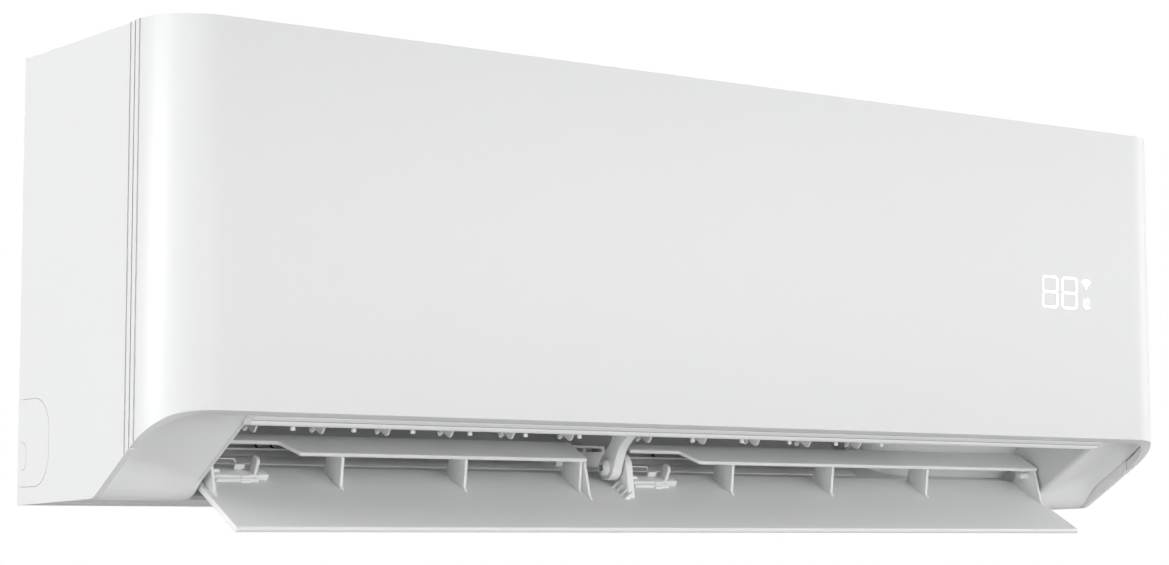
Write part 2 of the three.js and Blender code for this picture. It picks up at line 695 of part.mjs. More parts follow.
/** The wall behind the panel, with its windows, and the strip along the mouth. */
function frontFrame() {
  const half = CASE_W / 2;
  const returns = sides.map((side) =>
    common(
      box([side * (half - SIDE_WALL - SEAT), FRAME_Y + 3, 0],
        [side * (half - FRAME_INSET - FRAME_WALL), FRAME_Y, CASE_H - TOP_WALL - SEAT]),
      above(WING_DEPTH + 2),
    ));
  const wall = common(
    planWall(plan(FRAME_INSET, FRAME_FRONT, FRAME_Y), plan(
      FRAME_INSET + FRAME_WALL, FRAME_FRONT + FRAME_WALL, FRAME_Y,
    ),
      STRIP_TOP - FRAME_WALL, CASE_H - TOP_WALL - SEAT),
    join(above(WING_DEPTH + 2), box([-STRIP_HALF, -CASE_D, 0], [STRIP_HALF, 0, CASE_H])),
  );
  const strip = join(
    common(band(STRIP_RECESS, STRIP_RECESS + FRAME_WALL, -STRIP_HALF, STRIP_HALF),
      box([-CASE_W, STRIP_FRONT, 0], [CASE_W, STRIP_FRONT + STRIP_W, CASE_H])),
    common(box([-STRIP_HALF, STRIP_FRONT, 50], [STRIP_HALF, STRIP_FRONT + FRAME_WALL, STRIP_TOP]),
      above(STRIP_RECESS)),
    box([-STRIP_HALF, -CASE_D + FRAME_FRONT, STRIP_TOP - FRAME_WALL],
      [STRIP_HALF, STRIP_FRONT + FRAME_WALL, STRIP_TOP]),
  );
  return cut(
    join(wall, strip, ...returns),
    ...FRAME_WINDOWS.map(([x0, x1]) => prism(
      "y", rectangle(x0, WINDOW_LOW, x1, WINDOW_HIGH, 6), -CASE_D, -190,
    )),
    ...CATCHES.map((x) =>
      box([x - CATCH_W / 2 - 1, -CASE_D, CATCH_LOW - 5], [x + CATCH_W / 2 + 1, -200, CATCH_HIGH + 5])),
    ...sides.map((side) => hingeNotch(side, BOSS_END + SEAT)),
    box([DISPLAY_X0 + 1, -CASE_D, DISPLAY_LOW - 1], [DISPLAY_X1 - 1, -200, DISPLAY_HIGH + 1]),
    rod("y", [BUTTON_X, BUTTON_Z], BUTTON_R + RUN, -CASE_D, -200),
  );
}

function grilleSlots(side, z0, z1) {
  const pitchX = (TRAY_OUT - TRAY_IN) / GRILLE_COLUMNS;
  const pitchY = (TRAY_BACK - TRAY_FRONT) / GRILLE_ROWS;
  return Array.from({ length: GRILLE_COLUMNS * GRILLE_ROWS }, (_, i) => {
    const x = side * (TRAY_IN + ((i % GRILLE_COLUMNS) + 0.5) * pitchX);
    const y = TRAY_FRONT + (Math.floor(i / GRILLE_COLUMNS) + 0.5) * pitchY;
    const [halfX, halfY] = [(pitchX - GRILLE_BAR) / 2, (pitchY - GRILLE_BAR) / 2];
    return box([x - halfX, y - halfY, z0], [x + halfX, y + halfY, z1]);
  });
}

function frontPanel() {
  const half = CASE_W / 2;
  const end = SEAM_Y - SEAM_GAP / 2;
  const skin = planWall(plan(0, 0, end), plan(PANEL_WALL, PANEL_WALL, end), 0, CASE_H - PANEL_TOP_GAP);
  const rim = planWall(plan(0, 0, end), plan(RIM_W, RIM_FRONT_W, end), 0, CASE_H);
  const inside = -CASE_D + PANEL_WALL;
  const stiffeners = [-360, -180, 0, 180].map((x) => box(
    [x, inside - 1, RIM_H + 62], [x + 2, inside + 1.6, CASE_H - 20],
  ));
  const catches = CATCHES.map((x) => join(
    box(
      [x - CATCH_W / 2, inside - 1, CATCH_LOW],
      [x + CATCH_W / 2, -CASE_D + FRAME_FRONT + FRAME_WALL + 1, CATCH_LOW + 2],
    ),
    box([x - CATCH_W / 2, inside - 1, CATCH_LOW], [x - CATCH_W / 2 + 2, -CASE_D + FRAME_FRONT, CATCH_HIGH]),
  ));
  const arms = sides.map((side) => join(
    prism("x", [[inside - 1, HINGE_Z - 4.2], [HINGE_Y, HINGE_Z - 4.2], ...arc(
      [HINGE_Y, HINGE_Z], 3.6, -60, 60, 6,
    ),
      [inside - 1, HINGE_Z + 3]], side * (HINGE_X - ARM_W / 2), side * (HINGE_X + ARM_W / 2)),
    rod("x", [HINGE_Y, HINGE_Z], HINGE_PIN_R, side * HINGE_X, side * (HINGE_X + ARM_W / 2 + 5), 16),
  ));
  const grooves = sides.map((side) => sideGroove(side, SEAM_Y - GROOVE_PITCH));
  return cut(
    join(
      common(skin, above(0)), common(rim, band(0, RIM_H, -half, half)), ...stiffeners, ...catches,
      ...arms,
    ),
    ...grooves,
  );
}

function wing(side) {
  const outer = CASE_W / 2 - RIM_W - SEAT;
  const inner = MOUTH_HALF_W + SEAT;
  const block = (inset) =>
    common(
      prism("z", plan(RIM_W + SEAT + inset, RIM_FRONT_W + SEAT + inset, WING_REAR - inset), 0, CASE_H),
      box([side * (inner + inset), -CASE_D, 0], [side * (outer + 1), 0, CASE_H]),
      above(WING_RECESS + inset),
    );
  const centreX = side * ((inner + outer) / 2);
  const dish = (radius) => {
    const scoop = rod("y", [centreX, 0], radius, -DISH_RUN, DISH_RUN, 48);
    return scoop.rotateX(-INCLINE).translate(0, ...dishCentre());
  };
  const back = common(block(0), band(-1, WING_DEPTH, -CASE_W, CASE_W));
  return cut(back, dish(DISH_R), cut(block(WING_WALL), dish(DISH_R + WING_WALL)));
}

/** The middle of the dish's axis in (Y, Z), below the incline. */
function dishCentre() {
  const y = (INCLINE_START - CASE_D) / 2;
  const down = DISH_R - DISH_DEPTH - WING_RECESS;
  const z = -INCLINE_START * Math.tan(BOTTOM_ANGLE) - (y - INCLINE_START) * Math.tan(INCLINE);
  return [y - down * Math.sin(INCLINE), z - down * Math.cos(INCLINE)];
}

function wallPlate() {
  const holes = [];
  for (let column = -2; column <= 2; column += 1) {
    for (const row of [0, 1]) {
      if (column) holes.push(slot(
        column * 168, PLATE_LOW + 24 + row * (PLATE_HIGH - PLATE_LOW - 48), 36, 7,
      ));
    }
  }
  for (const side of sides) {
    holes.push(rectangle(side * 250 - 70, PLATE_LOW + 60, side * 250 + 70, PLATE_HIGH - 60, 8));
    holes.push(circle([side * 90, CASE_H / 2 + 40], 3, 8), circle([side * 90, CASE_H / 2 - 40], 3, 8));
  }
  const outline = rectangle(-PLATE_W / 2, PLATE_LOW, PLATE_W / 2, PLATE_HIGH, 10);
  const lipY = BACK_Y - BACK_WALL - SEAT;
  const hooks = HOOKS.map((x) => join(
    box([x - HOOK_W / 2, lipY - SHEET, HOOK_Z], [x + HOOK_W / 2, -SHEET / 2, HOOK_Z + SHEET]),
    box([x - HOOK_W / 2, lipY - SHEET, HOOK_Z], [x + HOOK_W / 2, lipY, HOOK_Z + HOOK_LIP]),
  ));
  return join(prism("y", outline, -SHEET, 0, holes), ...hooks);
}

// ---- Air path -------------------------------------------------------------

/** The rounded tongue's centre, next to the fan at the ceiling's upstream end. */
function noseCentre() {
  const [s, n] = toDuct(fanCentre);
  const noseN = CEILING_N + NOSE_R;
  const reach = PAN_R + NOSE_R;
  return duct(s - Math.sqrt(reach ** 2 - (n - noseN) ** 2), noseN);
}

function drainPan() {
  const [noseY, noseZ] = noseCentre();
  const noseAngle = degrees(Math.atan2(noseZ - FAN_Z, noseY - FAN_Y));
  const angleAt = (z, radius) => 180 - degrees(Math.asin((z - FAN_Z) / radius)) - 360;
  const wallIn = PAN_R + PLATE;
  const ceilingEnd = duct(CEILING_FRONT, CEILING_N);
  const lip = [ceilingEnd, [ceilingEnd[0] - 1.3, ceilingEnd[1] + 4.4], [PAN_FRONT, ceilingEnd[1] + 10.4]];
  const nose = arc([noseY, noseZ], NOSE_R, noseAngle + 180, degrees(FLOW) - 90, 8);
  const trough = [
    ...lip,
    [PAN_FRONT, PAN_TOP], [PAN_FRONT + PLATE, PAN_TOP], [PAN_FRONT + PLATE, PAN_FLOOR],
    ...arc(fanCentre, wallIn, angleAt(PAN_FLOOR, wallIn), angleAt(PAN_REAR_TOP, wallIn), 3),
    ...arc(fanCentre, PAN_R, angleAt(PAN_REAR_TOP, PAN_R), noseAngle, 5),
    ...nose,
  ];
  const hollow = [
    duct(21, CEILING_N + PLATE), [-141.5, PAN_FLOOR - PLATE], [PAN_FRONT + PLATE, PAN_FLOOR - PLATE],
    [PAN_FRONT + PLATE, ceilingEnd[1] + 13.4], duct(CEILING_FRONT + 3.3, CEILING_N + PLATE),
  ];
  const x0 = -MOUTH_HALF_W + PLATE + SEAT;
  const x1 = MOUTH_HALF_W - PLATE - SEAT;
  const ceiling = [...lip, [PAN_FRONT, ceilingEnd[1] + 18], [PAN_FRONT + PLATE, ceilingEnd[1] + 18],
    ...hollow.slice(3), duct(26, CEILING_N + PLATE), ...nose.slice(3)];
  const capOutline = [[PAN_FRONT, PAN_FLOOR - 1], [PAN_FRONT, PAN_REAR_TOP],
    ...arc(fanCentre, PAN_R + 1, angleAt(PAN_REAR_TOP, PAN_R), angleAt(PAN_FLOOR, PAN_R), 3)];
  const caps = [x0, PAN_RIGHT - PLATE].map((x) => prism("x", capOutline, x, x + PLATE));
  const bores = vanePlaces().map(([x]) => inDuct(rod(
    "z", [x, VANE_AXIS_S], VANE_PIN_R + SEAT, CEILING_N - 1, CEILING_N + 6, 6,
  )));
  const ribs = vanePlaces().filter(([, lead]) => !lead).map(([x]) =>
    inDuct(box(
      [x - VANE_PITCH / 2 - 0.8, -14, CEILING_N - 4], [x - VANE_PITCH / 2 + 0.8, 10, CEILING_N + 1],
    )));
  return cut(
    join(
      prism("x", trough, x0, PAN_RIGHT, [hollow]), prism("x", ceiling, PAN_RIGHT - 1, x1), ...caps,
      ...ribs,
    ),
    ...bores,
    rod("x", SPIGOT, SPIGOT_BORE_R, x0 - 1, x0 + PLATE + 1, 20),
  );
}

/** Each vane's X and whether its motor turns it. */
function vanePlaces() {
  const group = (start, count) => Array.from(
    { length: count }, (_, i) => [start + i * VANE_PITCH, i === 0],
  );
  return [...group(VANE_LEFT_X, VANES_LEFT), ...group(VANE_RIGHT_X, VANES_RIGHT)];
}

function vane([x, lead]) {
  const front = VANE_AXIS_S - VANE_FRONT;
  const rear = VANE_AXIS_S + VANE_REAR;
  const link = VANE_AXIS_S + LINK_ARM;
  const top = CEILING_N - 1.2;
  const outline = [
    [front, VANE_LOW_N], [link - 5, VANE_FOOT_N], [rear, VANE_FOOT_N], [rear, top], [front, top],
  ];
  const [fanS, fanN] = toDuct(fanCentre);
  const blade = cut(prism("x", outline, x - VANE_THICK / 2, x + VANE_THICK / 2),
    rod("x", [fanS, fanN], PAN_R, x - 2, x + 2, 14));
  const head = rod("z", [x, VANE_AXIS_S], VANE_PIN_R, top - 6, CEILING_N + (lead ? 7 : 3.5), 6);
  const pin = rod("z", [x, link], LINK_PIN_R, VANE_FOOT_N - TIE_H - 0.8, VANE_FOOT_N + 3, 5);
  return inDuctSolid(join(blade, head, pin));
}

/** A joined solid drawn in the duct's frame, put in place. */
const inDuctSolid = (shape) => shape.rotate([degrees(FLOW), 0, 0]).translate([0, PIVOT_Y, PIVOT_Z]);
const inLouverSolid = (shape) => shape.rotate([
  degrees(LOUVER_ANGLE), 0, 0,
]).translate([0, PIVOT_Y, PIVOT_Z]);

function tieBar(start, count) {
  const end = start + (count - 1) * VANE_PITCH;
  const link = VANE_AXIS_S + LINK_ARM;
  const holes = Array.from(
    { length: count }, (_, i) => circle([start + i * VANE_PITCH, link], LINK_PIN_R + SEAT, 6),
  );
  const outline = rectangle(start - 4, link - TIE_W, end + 4, link + TIE_W, TIE_W - 0.2);
  const top = VANE_FOOT_N - SEAT;
  return inDuct(prism("z", outline, top - TIE_H, top, holes));
}

function vaneMotor(start) {
  const n0 = CEILING_N + PLATE + SEAT;
  const can = rod("z", [start, VANE_AXIS_S], STEP_R, n0, n0 + STEP_H, 12);
  const lug = box(
    [start - STEP_R - 4, VANE_AXIS_S - 3, n0], [start + STEP_R + 4, VANE_AXIS_S + 3, n0 + 1.2],
  );
  const bore = rod("z", [start, VANE_AXIS_S], VANE_PIN_R + RUN, n0 - 1, n0 + 5.5, 8);
  return inDuctSolid(cut(join(can, lug), bore));
}

function ductEndCover() {
  const start = CHAMBER_RIGHT + SEAT;
  const end = MOUTH_HALF_W - PLATE - SEAT;
  const bend = arc([COVER_BEND_X, COVER_REAR], 1, 180, 270, 10)
    .map(([x, s]) => [COVER_BEND_X + (x - COVER_BEND_X) * (COVER_BEND_X - start),
      COVER_REAR + (s - COVER_REAR) * (COVER_REAR - COVER_FRONT - 2)]);
  const path = [...bend, [end, COVER_FRONT]];
  return inDuct(prism("z", sheet(path, PLATE), -FLOOR_N + SEAT, CEILING_N - SEAT));
}

const COILS = [
  { name: "coil_front", low: [-165, 112], high: [-165, 210] },
  { name: "coil_upper", low: [-156.3, 216.3], high: [-103.5, 279.1] },
  { name: "coil_rear", low: [-34.5, 194], high: [-82.4, 283.9] },
];

/** A point on a coil's middle line, a number of tube pitches above its middle. */
function coilPoint({ low, high }, pitches) {
  const along = unit(plus(high, low, -1));
  return plus(plus(low, plus(high, low, -1), 0.5), along, pitches * TUBE_PITCH);
}

/** A coil block's outline in (Y, Z), grown on all sides. */
function coilOutline({ low, high }, grow = 0) {
  const along = unit(plus(high, low, -1));
  const across = [-along[1], along[0]];
  const half = COIL_THICK / 2 + grow;
  const corner = (end, k, j) => plus(plus(end, along, k * grow), across, j * half);
  return [corner(low, -1, -1), corner(high, 1, -1), corner(high, 1, 1), corner(low, -1, 1)];
}

const coilBlock = (coil) => prism("x", coilOutline(coil), COIL_LEFT, COIL_RIGHT);

function coilPlate(side) {
  const inner = (side < 0 ? COIL_LEFT : COIL_RIGHT) + side * SEAT;
  const outer = inner + side * SHEET;
  const slabs = COILS.map((coil) => prism("x", coilOutline(coil, 3), inner, outer));
  const bends = COILS.flatMap((coil) => (side < 0 ? [-1, 1] : [0]).map((place) => {
    const turn = Array.from({ length: 5 }, (_, k) => {
      const angle = (Math.PI * k) / 4;
      const [y, z] = coilPoint(coil, place + Math.cos(angle) / 2);
      return [outer + side * (BEND_R * Math.sin(angle) - 0.5), y, z];
    });
    return bar(turn, BEND_TUBE_R, 5);
  }));
  const foot = box([inner, -172, PAN_FLOOR + SEAT], [outer, -158, 112]);
  const tab = box([inner, -40, 206], [outer, BACK_Y - BACK_WALL - SEAT, 226]);
  return join(slabs[0], slabs[1], slabs[2], foot, tab, ...bends);
}

/** The cross-flow fan: curved blades between discs, on its shaft. */
function fanRotor() {
  const outer = FAN_R - 0.6;
  const inner = FAN_R * 0.76;
  const blade = [
    [inner, 0], [(inner + outer) / 2 + 1.2, -2.6], [outer, -2.2],
    [outer - 0.3, -0.8], [(inner + outer) / 2, -0.9], [inner + 0.2, 1.4],
  ];
  const blades = Array.from({ length: BLADES }, (_, i) => {
    const angle = (2 * Math.PI * i) / BLADES;
    const turn = ([u, v]) => [
      FAN_Y + u * Math.cos(angle) - v * Math.sin(angle),
      FAN_Z + u * Math.sin(angle) + v * Math.cos(angle),
    ];
    return prism("x", blade.map(turn), FAN_LEFT + 1, FAN_RIGHT - 1);
  });
  const discs = [FAN_LEFT, (FAN_LEFT + FAN_RIGHT) / 2, FAN_RIGHT - 3];
  const plates = discs.map((x, i) =>
    prism("x", circle(fanCentre, FAN_R, 24), x, x + 3, i === 1 ? [circle(fanCentre, inner - 6, 12)] : []));
  const stub = rod("x", fanCentre, SHAFT_R, FAN_LEFT - 14, FAN_LEFT + 1, 16);
  const drive = rod("x", fanCentre, SHAFT_R, FAN_RIGHT - 1, MOTOR_X0 + 30, 16);
  return join(plates[0], ...blades, ...plates.slice(1), stub, drive);
}

function fanBearing() {
  const x0 = -MOUTH_HALF_W - 3;
  const profile = [[x0, SHAFT_R + RUN], [x0, BUSH_R - 3], [x0 + 2.4, BUSH_R], [x0 + 5.2, BUSH_R],
    [x0 + 5.2, SHAFT_R + RUN], [x0, SHAFT_R + RUN]];
  return turned(profile, fanCentre, 14);
}

function fanMotor() {
  const x1 = MOTOR_X0 + MOTOR_L;
  const bore = SHAFT_R + RUN;
  const profile = [
    [MOTOR_X0, bore], [MOTOR_X0, CRADLE_R], [MOTOR_X0 + 8, CRADLE_R], [MOTOR_X0 + 10, 26], [
      MOTOR_X0 + 12, MOTOR_R - 4,
    ],
    [MOTOR_X0 + 16, MOTOR_R], [x1 - 16, MOTOR_R], [x1 - 12, MOTOR_R - 4], [x1 - 10, 26], [x1 - 8, CRADLE_R],
    [x1, CRADLE_R], [x1, 0], [MOTOR_X0 + 34, 0], [MOTOR_X0 + 34, bore], [MOTOR_X0, bore],
  ];
  return turned(profile, fanCentre, 14);
}

/** A strap over each end boss of the motor, the two tied by a bar beside it. */
function motorClamp() {
  const base = FAN_Z + SEAT;
  const barY = FAN_Y + MOTOR_R + 2;
  const straps = SADDLES.map((x) => cut(
    join(rod("x", fanCentre, CRADLE_R + 3, x, x + SADDLE_W, 18),
      box([x, FAN_Y - 28, base], [x + SADDLE_W, barY + 1, base + 4])),
    rod("x", fanCentre, CRADLE_R + SEAT, x - 1, x + SADDLE_W + 1, 18),
    box([x - 1, FAN_Y - 60, 0], [x + SADDLE_W + 1, FAN_Y + 60, base]),
  ));
  return join(
    straps[0], straps[1], box([SADDLES[0], barY, base], [SADDLES[1] + SADDLE_W, barY + 6, base + 6]),
  );
}

// ---- Louver ---------------------------------------------------------------

const panelTop = -LOUVER_DROP;
const ribTop = BLADE_RISE - BLADE_THICK - SEAT;

/** A rib from the panel up to the blade, with filleted feet. */
function rib(x, foot) {
  return prism("x", rounded([
    [[RIB_FOOT_REAR, panelTop - 1], 0], [[-foot - 3, panelTop - 1], 0], [[-foot - 2, panelTop], 0],
    [[-foot + 2, panelTop + 1.6], 4], [[-BLADE_FRONT + 0.8, ribTop], 0], [[BLADE_REAR - 6.6, ribTop], 0],
  ]), x, x + RIB_THICK);
}

/** The angle, in degrees, where a line from a point touches a circle about the origin. */
const tangentAngle = ([u, v], radius, side) =>
  degrees(Math.atan2(v, u)) + side * degrees(Math.acos(radius / Math.hypot(u, v)));

function louverEar() {
  const front = [-WEB_FOOT_FRONT + 1, panelTop - 1];
  const rear = [RIB_FOOT_REAR - 2, panelTop - 1];
  const first = tangentAngle(rear, EAR_R, 1);
  const last = tangentAngle(front, EAR_R, -1) + 360;
  return prism("x", [front, rear, ...arc([0, 0], EAR_R, first, last, 12)], EAR_X - EAR_THICK, EAR_X);
}

function louverPanel() {
  const outline = rounded([
    [[-LOUVER_FRONT, panelTop - LOUVER_THICK], 2.2], [[LOUVER_REAR, panelTop - LOUVER_THICK], 1],
    [[LOUVER_REAR, panelTop], 1], [[-LOUVER_FRONT, panelTop], 2],
  ], true, 4);
  const plate = prism("x", outline, -LOUVER_HALF_W, LOUVER_HALF_W);
  const ribs = [...RIBS.map((x) => rib(x, RIB_FOOT_FRONT)),
    rib(RIGHT_CHEEK, WEB_FOOT_FRONT), rib(LEFT_CHEEK - RIB_THICK, WEB_FOOT_FRONT),
    rib(WEBS[0], WEB_FOOT_FRONT), rib(WEBS[0] - 8, RIB_FOOT_FRONT)];
  const teeth = [-26, -20, -14, -8].map((y) => prism("y",
    [[EAR_X - EAR_THICK + 0.5, panelTop - 1], [EAR_X - EAR_THICK - 5.5, panelTop - 1],
      [EAR_X - EAR_THICK - 5.5, panelTop], [EAR_X - EAR_THICK + 0.5, panelTop + 6]], y, y + 1.8));
  const rails = Object.values(LATCHES).map(([x]) => join(
    box([x, -5.7, panelTop - 1], [x + LATCH_L + 6, -4.2, panelTop + 4.4]),
    box([x, 6.2, panelTop - 1], [x + LATCH_L + 6, 7.7, panelTop + 4.4]),
    box([x + LATCH_L, -5.7, panelTop - 1], [x + LATCH_L + 6, 7.7, panelTop + 4.4]),
  ));
  const bores = [
    rod("x", [0, 0], PIN_R + RUN, RIGHT_CHEEK - 1, RIGHT_CHEEK + RIB_THICK + 1, 16),
    rod("x", [0, 0], PIN_R + SEAT, LEFT_CHEEK - RIB_THICK - 1, LEFT_CHEEK + 1, 16),
    rod("x", [0, 0], SNAP_R + SEAT, EAR_X - EAR_THICK - 1, EAR_X + 1, 14),
    rod("x", LATCH_AXIS, BOLT_R + RUN, LEFT_CHEEK - RIB_THICK - 1, LEFT_CHEEK + 1, 8),
    rod("x", LATCH_AXIS, BOLT_R + RUN, EAR_X - 3, EAR_X + 1, 8),
  ];
  return inLouverSolid(cut(join(plate, ...ribs, louverEar(), ...teeth, ...rails), ...bores));
}

/** An upper blade: its front edge steps back in a finger notch at its left end. */
function louverBlade(name) {
  const [x0, x1] = BLADE_SPANS[name];
  const step = NOTCH_ENDS[name];
  const outline = [
    [x0, BLADE_REAR], [x0, -NOTCH_FRONT], [step, -NOTCH_FRONT], [step + NOTCH_SLOPE, -BLADE_FRONT],
    [x1, -BLADE_FRONT], [x1, BLADE_REAR],
  ];
  return inLouver(prism("z", outline, BLADE_RISE - BLADE_THICK, BLADE_RISE));
}

/** The fixed arm that carries the louver's middle, drawn in the duct's frame. */
function louverArm() {
  const top = CEILING_N - SEAT;
  const foot = [[8.5, top], [5, 28], [8.6, 5]];
  const front = rounded([[[-8.6, 4], 0], [[-5.6, 20], 30], [[-14, top], 0]], false, 6);
  const x0 = ARM_X - ARM_THICK / 2;
  const x1 = ARM_X + ARM_THICK / 2;
  const flange = prism("x", [[11, top], [11, top - 2.5], [-17, top - 2.5], [-17, top]], x0 - 4, x1 + 4);
  const blank = join(prism("x", [...foot, ...front], x0, x1), rod("x", [0, 0], HUB_R, x0, x1, 28), flange);
  return inDuctSolid(cut(blank, rod("x", [0, 0], HUB_BORE_R, x0 - 1, x1 + 1, 20)));
}

/** The split pin that holds the ear to the arm: head, shank and barbs. */
function snapPin() {
  const tip = ARM_X - ARM_THICK / 2;
  const profile = [
    [tip - 4.6, 0], [tip - 4.6, SNAP_R - 1.2], [tip - 1.6, HUB_BORE_R + SNAP_BARB], [
      tip - SEAT, HUB_BORE_R + SNAP_BARB,
    ],
    [tip - SEAT, SNAP_R], [EAR_X + SEAT, SNAP_R], [EAR_X + SEAT, SNAP_R + 1.8], [
      EAR_X + SEAT + 1.4, SNAP_R + 1.8,
    ],
    [EAR_X + SEAT + 1.4, 0],
  ];
  const slit = box([tip - 6, PIVOT_Y - 20, PIVOT_Z - 0.9], [tip + 7, PIVOT_Y + 20, PIVOT_Z + 0.9]);
  const bore = rod("x", pivot, 2.6, tip - 6, tip + 7, 10);
  return cut(turned(profile, pivot, 14), slit, bore);
}

/** The right pivot: a headed peg through the mouth's side plate into the cheek. */
function pivotPin() {
  const plateFace = MOUTH_HALF_W + SEAT;
  const profile = [[RIGHT_CHEEK - 9, 0], [
    RIGHT_CHEEK - 9, PIN_R - 0.7,
  ], [RIGHT_CHEEK - 8.2, PIN_R], [plateFace, PIN_R],
    [plateFace, PIN_R + 2], [plateFace + 1.6, PIN_R + 2], [plateFace + 1.6, 0]];
  return turned(profile, pivot, 12);
}

function louverMotor() {
  const x0 = STEPPER_X - STEPPER_L;
  const body = stepperBody;
  const ears = join(
    box(
      [STEPPER_X - 1.2, body[0] - EAR_PITCH, body[1] - 3.5],
      [STEPPER_X, body[0] + EAR_PITCH, body[1] + 3.5],
    ),
    rod("x", [body[0] - EAR_PITCH, body[1]], 3.5, STEPPER_X - 1.2, STEPPER_X, 10),
    rod("x", [body[0] + EAR_PITCH, body[1]], 3.5, STEPPER_X - 1.2, STEPPER_X, 10),
  );
  const nose = rod("x", pivot, PIN_R + 2.4, STEPPER_X - 1, STEPPER_X + 1.5, 14);
  const socket = box(
    [x0 + 3, body[0] - 6, body[1] + STEPPER_R - 2],
    [STEPPER_X - 3, body[0] + 6, body[1] + STEPPER_R + 3],
  );
  return cut(join(rod("x", body, STEPPER_R, x0, STEPPER_X, 18), ears, nose, socket),
    rod("x", pivot, PIN_R + RUN, STEPPER_X - 8, STEPPER_X + 3, 16));
}

/** The drive shaft: flatted where it holds the cheek. */
function louverShaft() {
  const end = LEFT_CHEEK + 1.2;
  const shank = rod("x", pivot, PIN_R, STEPPER_X - 7, end, 12);
  const collar = rod(
    "x", pivot, PIN_R + 1.6, LEFT_CHEEK - RIB_THICK - SEAT - 2, LEFT_CHEEK - RIB_THICK - SEAT, 12,
  );
  return join(shank, collar);
}

/** A thumb latch: slider, bolt and upright paddle between two rails. */
function latch(name) {
  const [x, target] = LATCHES[name];
  const x1 = x + LATCH_L - LATCH_TRAVEL - SEAT;
  const base = panelTop + SEAT;
  const slider = box([x + 3, -3.8, base], [x1, 5.8, base + 1.8]);
  const tube = rod("x", LATCH_AXIS, 2.9, x + 3, x1 - 9, 10);
  const reach = name === "left" ? target - RIB_THICK : EAR_X - 2.5;
  const bolt = rod("x", LATCH_AXIS, BOLT_R, reach, x + 4, 8);
  const paddle = prism("x", rounded([
    [[-2.8, base + 1], 0], [[-2.8, -2.3], 4], [[5.4, -2.3], 4], [[5.4, base + 1], 0],
  ]),
    x1 - 7, x1 - 4.6);
  const tab = box([x + 12, 1.5, base + 1], [x + 20, 4.5, base + 3.6]);
  return inLouverSolid(join(slider, tube, bolt, paddle, tab));
}

// ---- Top, electrics and pipework ------------------------------------------

function filter(side) {
  const base = TRAY_FLOOR + GRILLE_THICK + SEAT;
  const x0 = side * (TRAY_IN + FILTER_GAP);
  const x1 = side * (TRAY_OUT - FILTER_GAP);
  const y0 = TRAY_FRONT + FILTER_GAP;
  const y1 = TRAY_BACK - FILTER_GAP;
  const frame = box([x0, y0, base], [x1, y1, base + FILTER_H]);
  const pitchX = (x1 - x0) / FILTER_COLUMNS;
  const pitchY = (y1 - y0) / 2;
  const pockets = Array.from({ length: FILTER_COLUMNS * 2 }, (_, i) => {
    const left = x0 + (i % FILTER_COLUMNS) * pitchX + side * FILTER_BORDER / 2;
    const right = left + pitchX - side * FILTER_BORDER;
    const low = y0 + Math.floor(i / FILTER_COLUMNS) * pitchY + FILTER_BORDER / 2;
    return [[base - 1, base + 1], [base + 1.8, base + FILTER_H + 1]].map(([z0, z1]) =>
      box([left, low, z0], [right, low + pitchY - FILTER_BORDER, z1]));
  });
  const grip = box(
    [(x0 + x1) / 2 - 22, y0 - FILTER_GAP + SEAT, base + 2],
    [(x0 + x1) / 2 + 22, y0 + 1, base + FILTER_H],
  );
  return join(cut(frame, ...pockets.flat()), grip);
}

function electricalBox() {
  const shell = cut(
    box([BOX_X0, BOX_FRONT, BOX_LOW], [BOX_X1, BOX_REAR, BOX_HIGH]),
    box(
      [BOX_X0 + BOX_WALL, BOX_FRONT - 1, BOX_LOW + BOX_WALL],
      [BOX_X1 - BOX_WALL, BOX_REAR - BOX_WALL, BOX_HIGH - BOX_WALL],
    ),
    ...[0, 1, 2, 3].map((i) => box(
      [BOX_X0 - 1, BOX_REAR - 30 - i * 9, BOX_HIGH - 50],
      [BOX_X0 + 3, BOX_REAR - 26 - i * 9, BOX_HIGH - 16],
    )),
  );
  const legs = [BOX_X0 + 75, BOX_X1 - 12].map((x) =>
    common(box([x, BOX_REAR - 40, 0], [x + 2.5, BOX_REAR, BOX_LOW + 1]), above(BOTTOM_WALL + SEAT)));
  const posts = [
    [BOX_X0 + 14, BOX_LOW + 24], [BOX_X1 - 14, BOX_LOW + 24], [BOX_X0 + 14, BOX_HIGH - 24],
    [BOX_X1 - 14, BOX_HIGH - 24],
  ]
    .map(([x, z]) => rod("y", [x, z], 4, BOX_REAR - BOARD_STAND, BOX_REAR - 1, 8));
  return join(shell, ...legs, ...posts);
}

function controlBoard() {
  const face = BOX_REAR - BOARD_STAND - SEAT;
  const front = face - 1.6;
  const parts = [[60, 40, 26], [24, 22, 30], [96, 100, 18], [30, 95, 14], [70, 142, 20]];
  const board = box([BOX_X0 + 7, face, BOX_LOW + 10], [BOX_X1 - 7, front, BOX_HIGH - 10]);
  const blocks = parts.map(([x, z, height]) =>
    box([BOX_X0 + x - 9, front - height, BOX_LOW + z - 8], [BOX_X0 + x + 9, front + 0.5, BOX_LOW + z + 8]));
  const cans = [0, 1, 2].map((i) =>
    rod("y", [BOX_X0 + 98, BOX_LOW + 36 + i * 20], 7, front - 24, front + 0.5, 10));
  return join(board, ...blocks, ...cans);
}

function terminalBlock() {
  const z0 = BOX_LOW + BOX_WALL + SEAT;
  const x0 = BOX_X1 - BOX_WALL - 64;
  const base = box([x0, BOX_FRONT + 8, z0], [x0 + 60, BOX_FRONT + 34, z0 + 16]);
  const ways = Array.from({ length: 5 }, (_, i) =>
    box([x0 + 3 + i * 11.4, BOX_FRONT + 7, z0 + 5], [x0 + 11.4 + i * 11.4, BOX_FRONT + 26, z0 + 17]));
  return cut(base, ...ways);
}

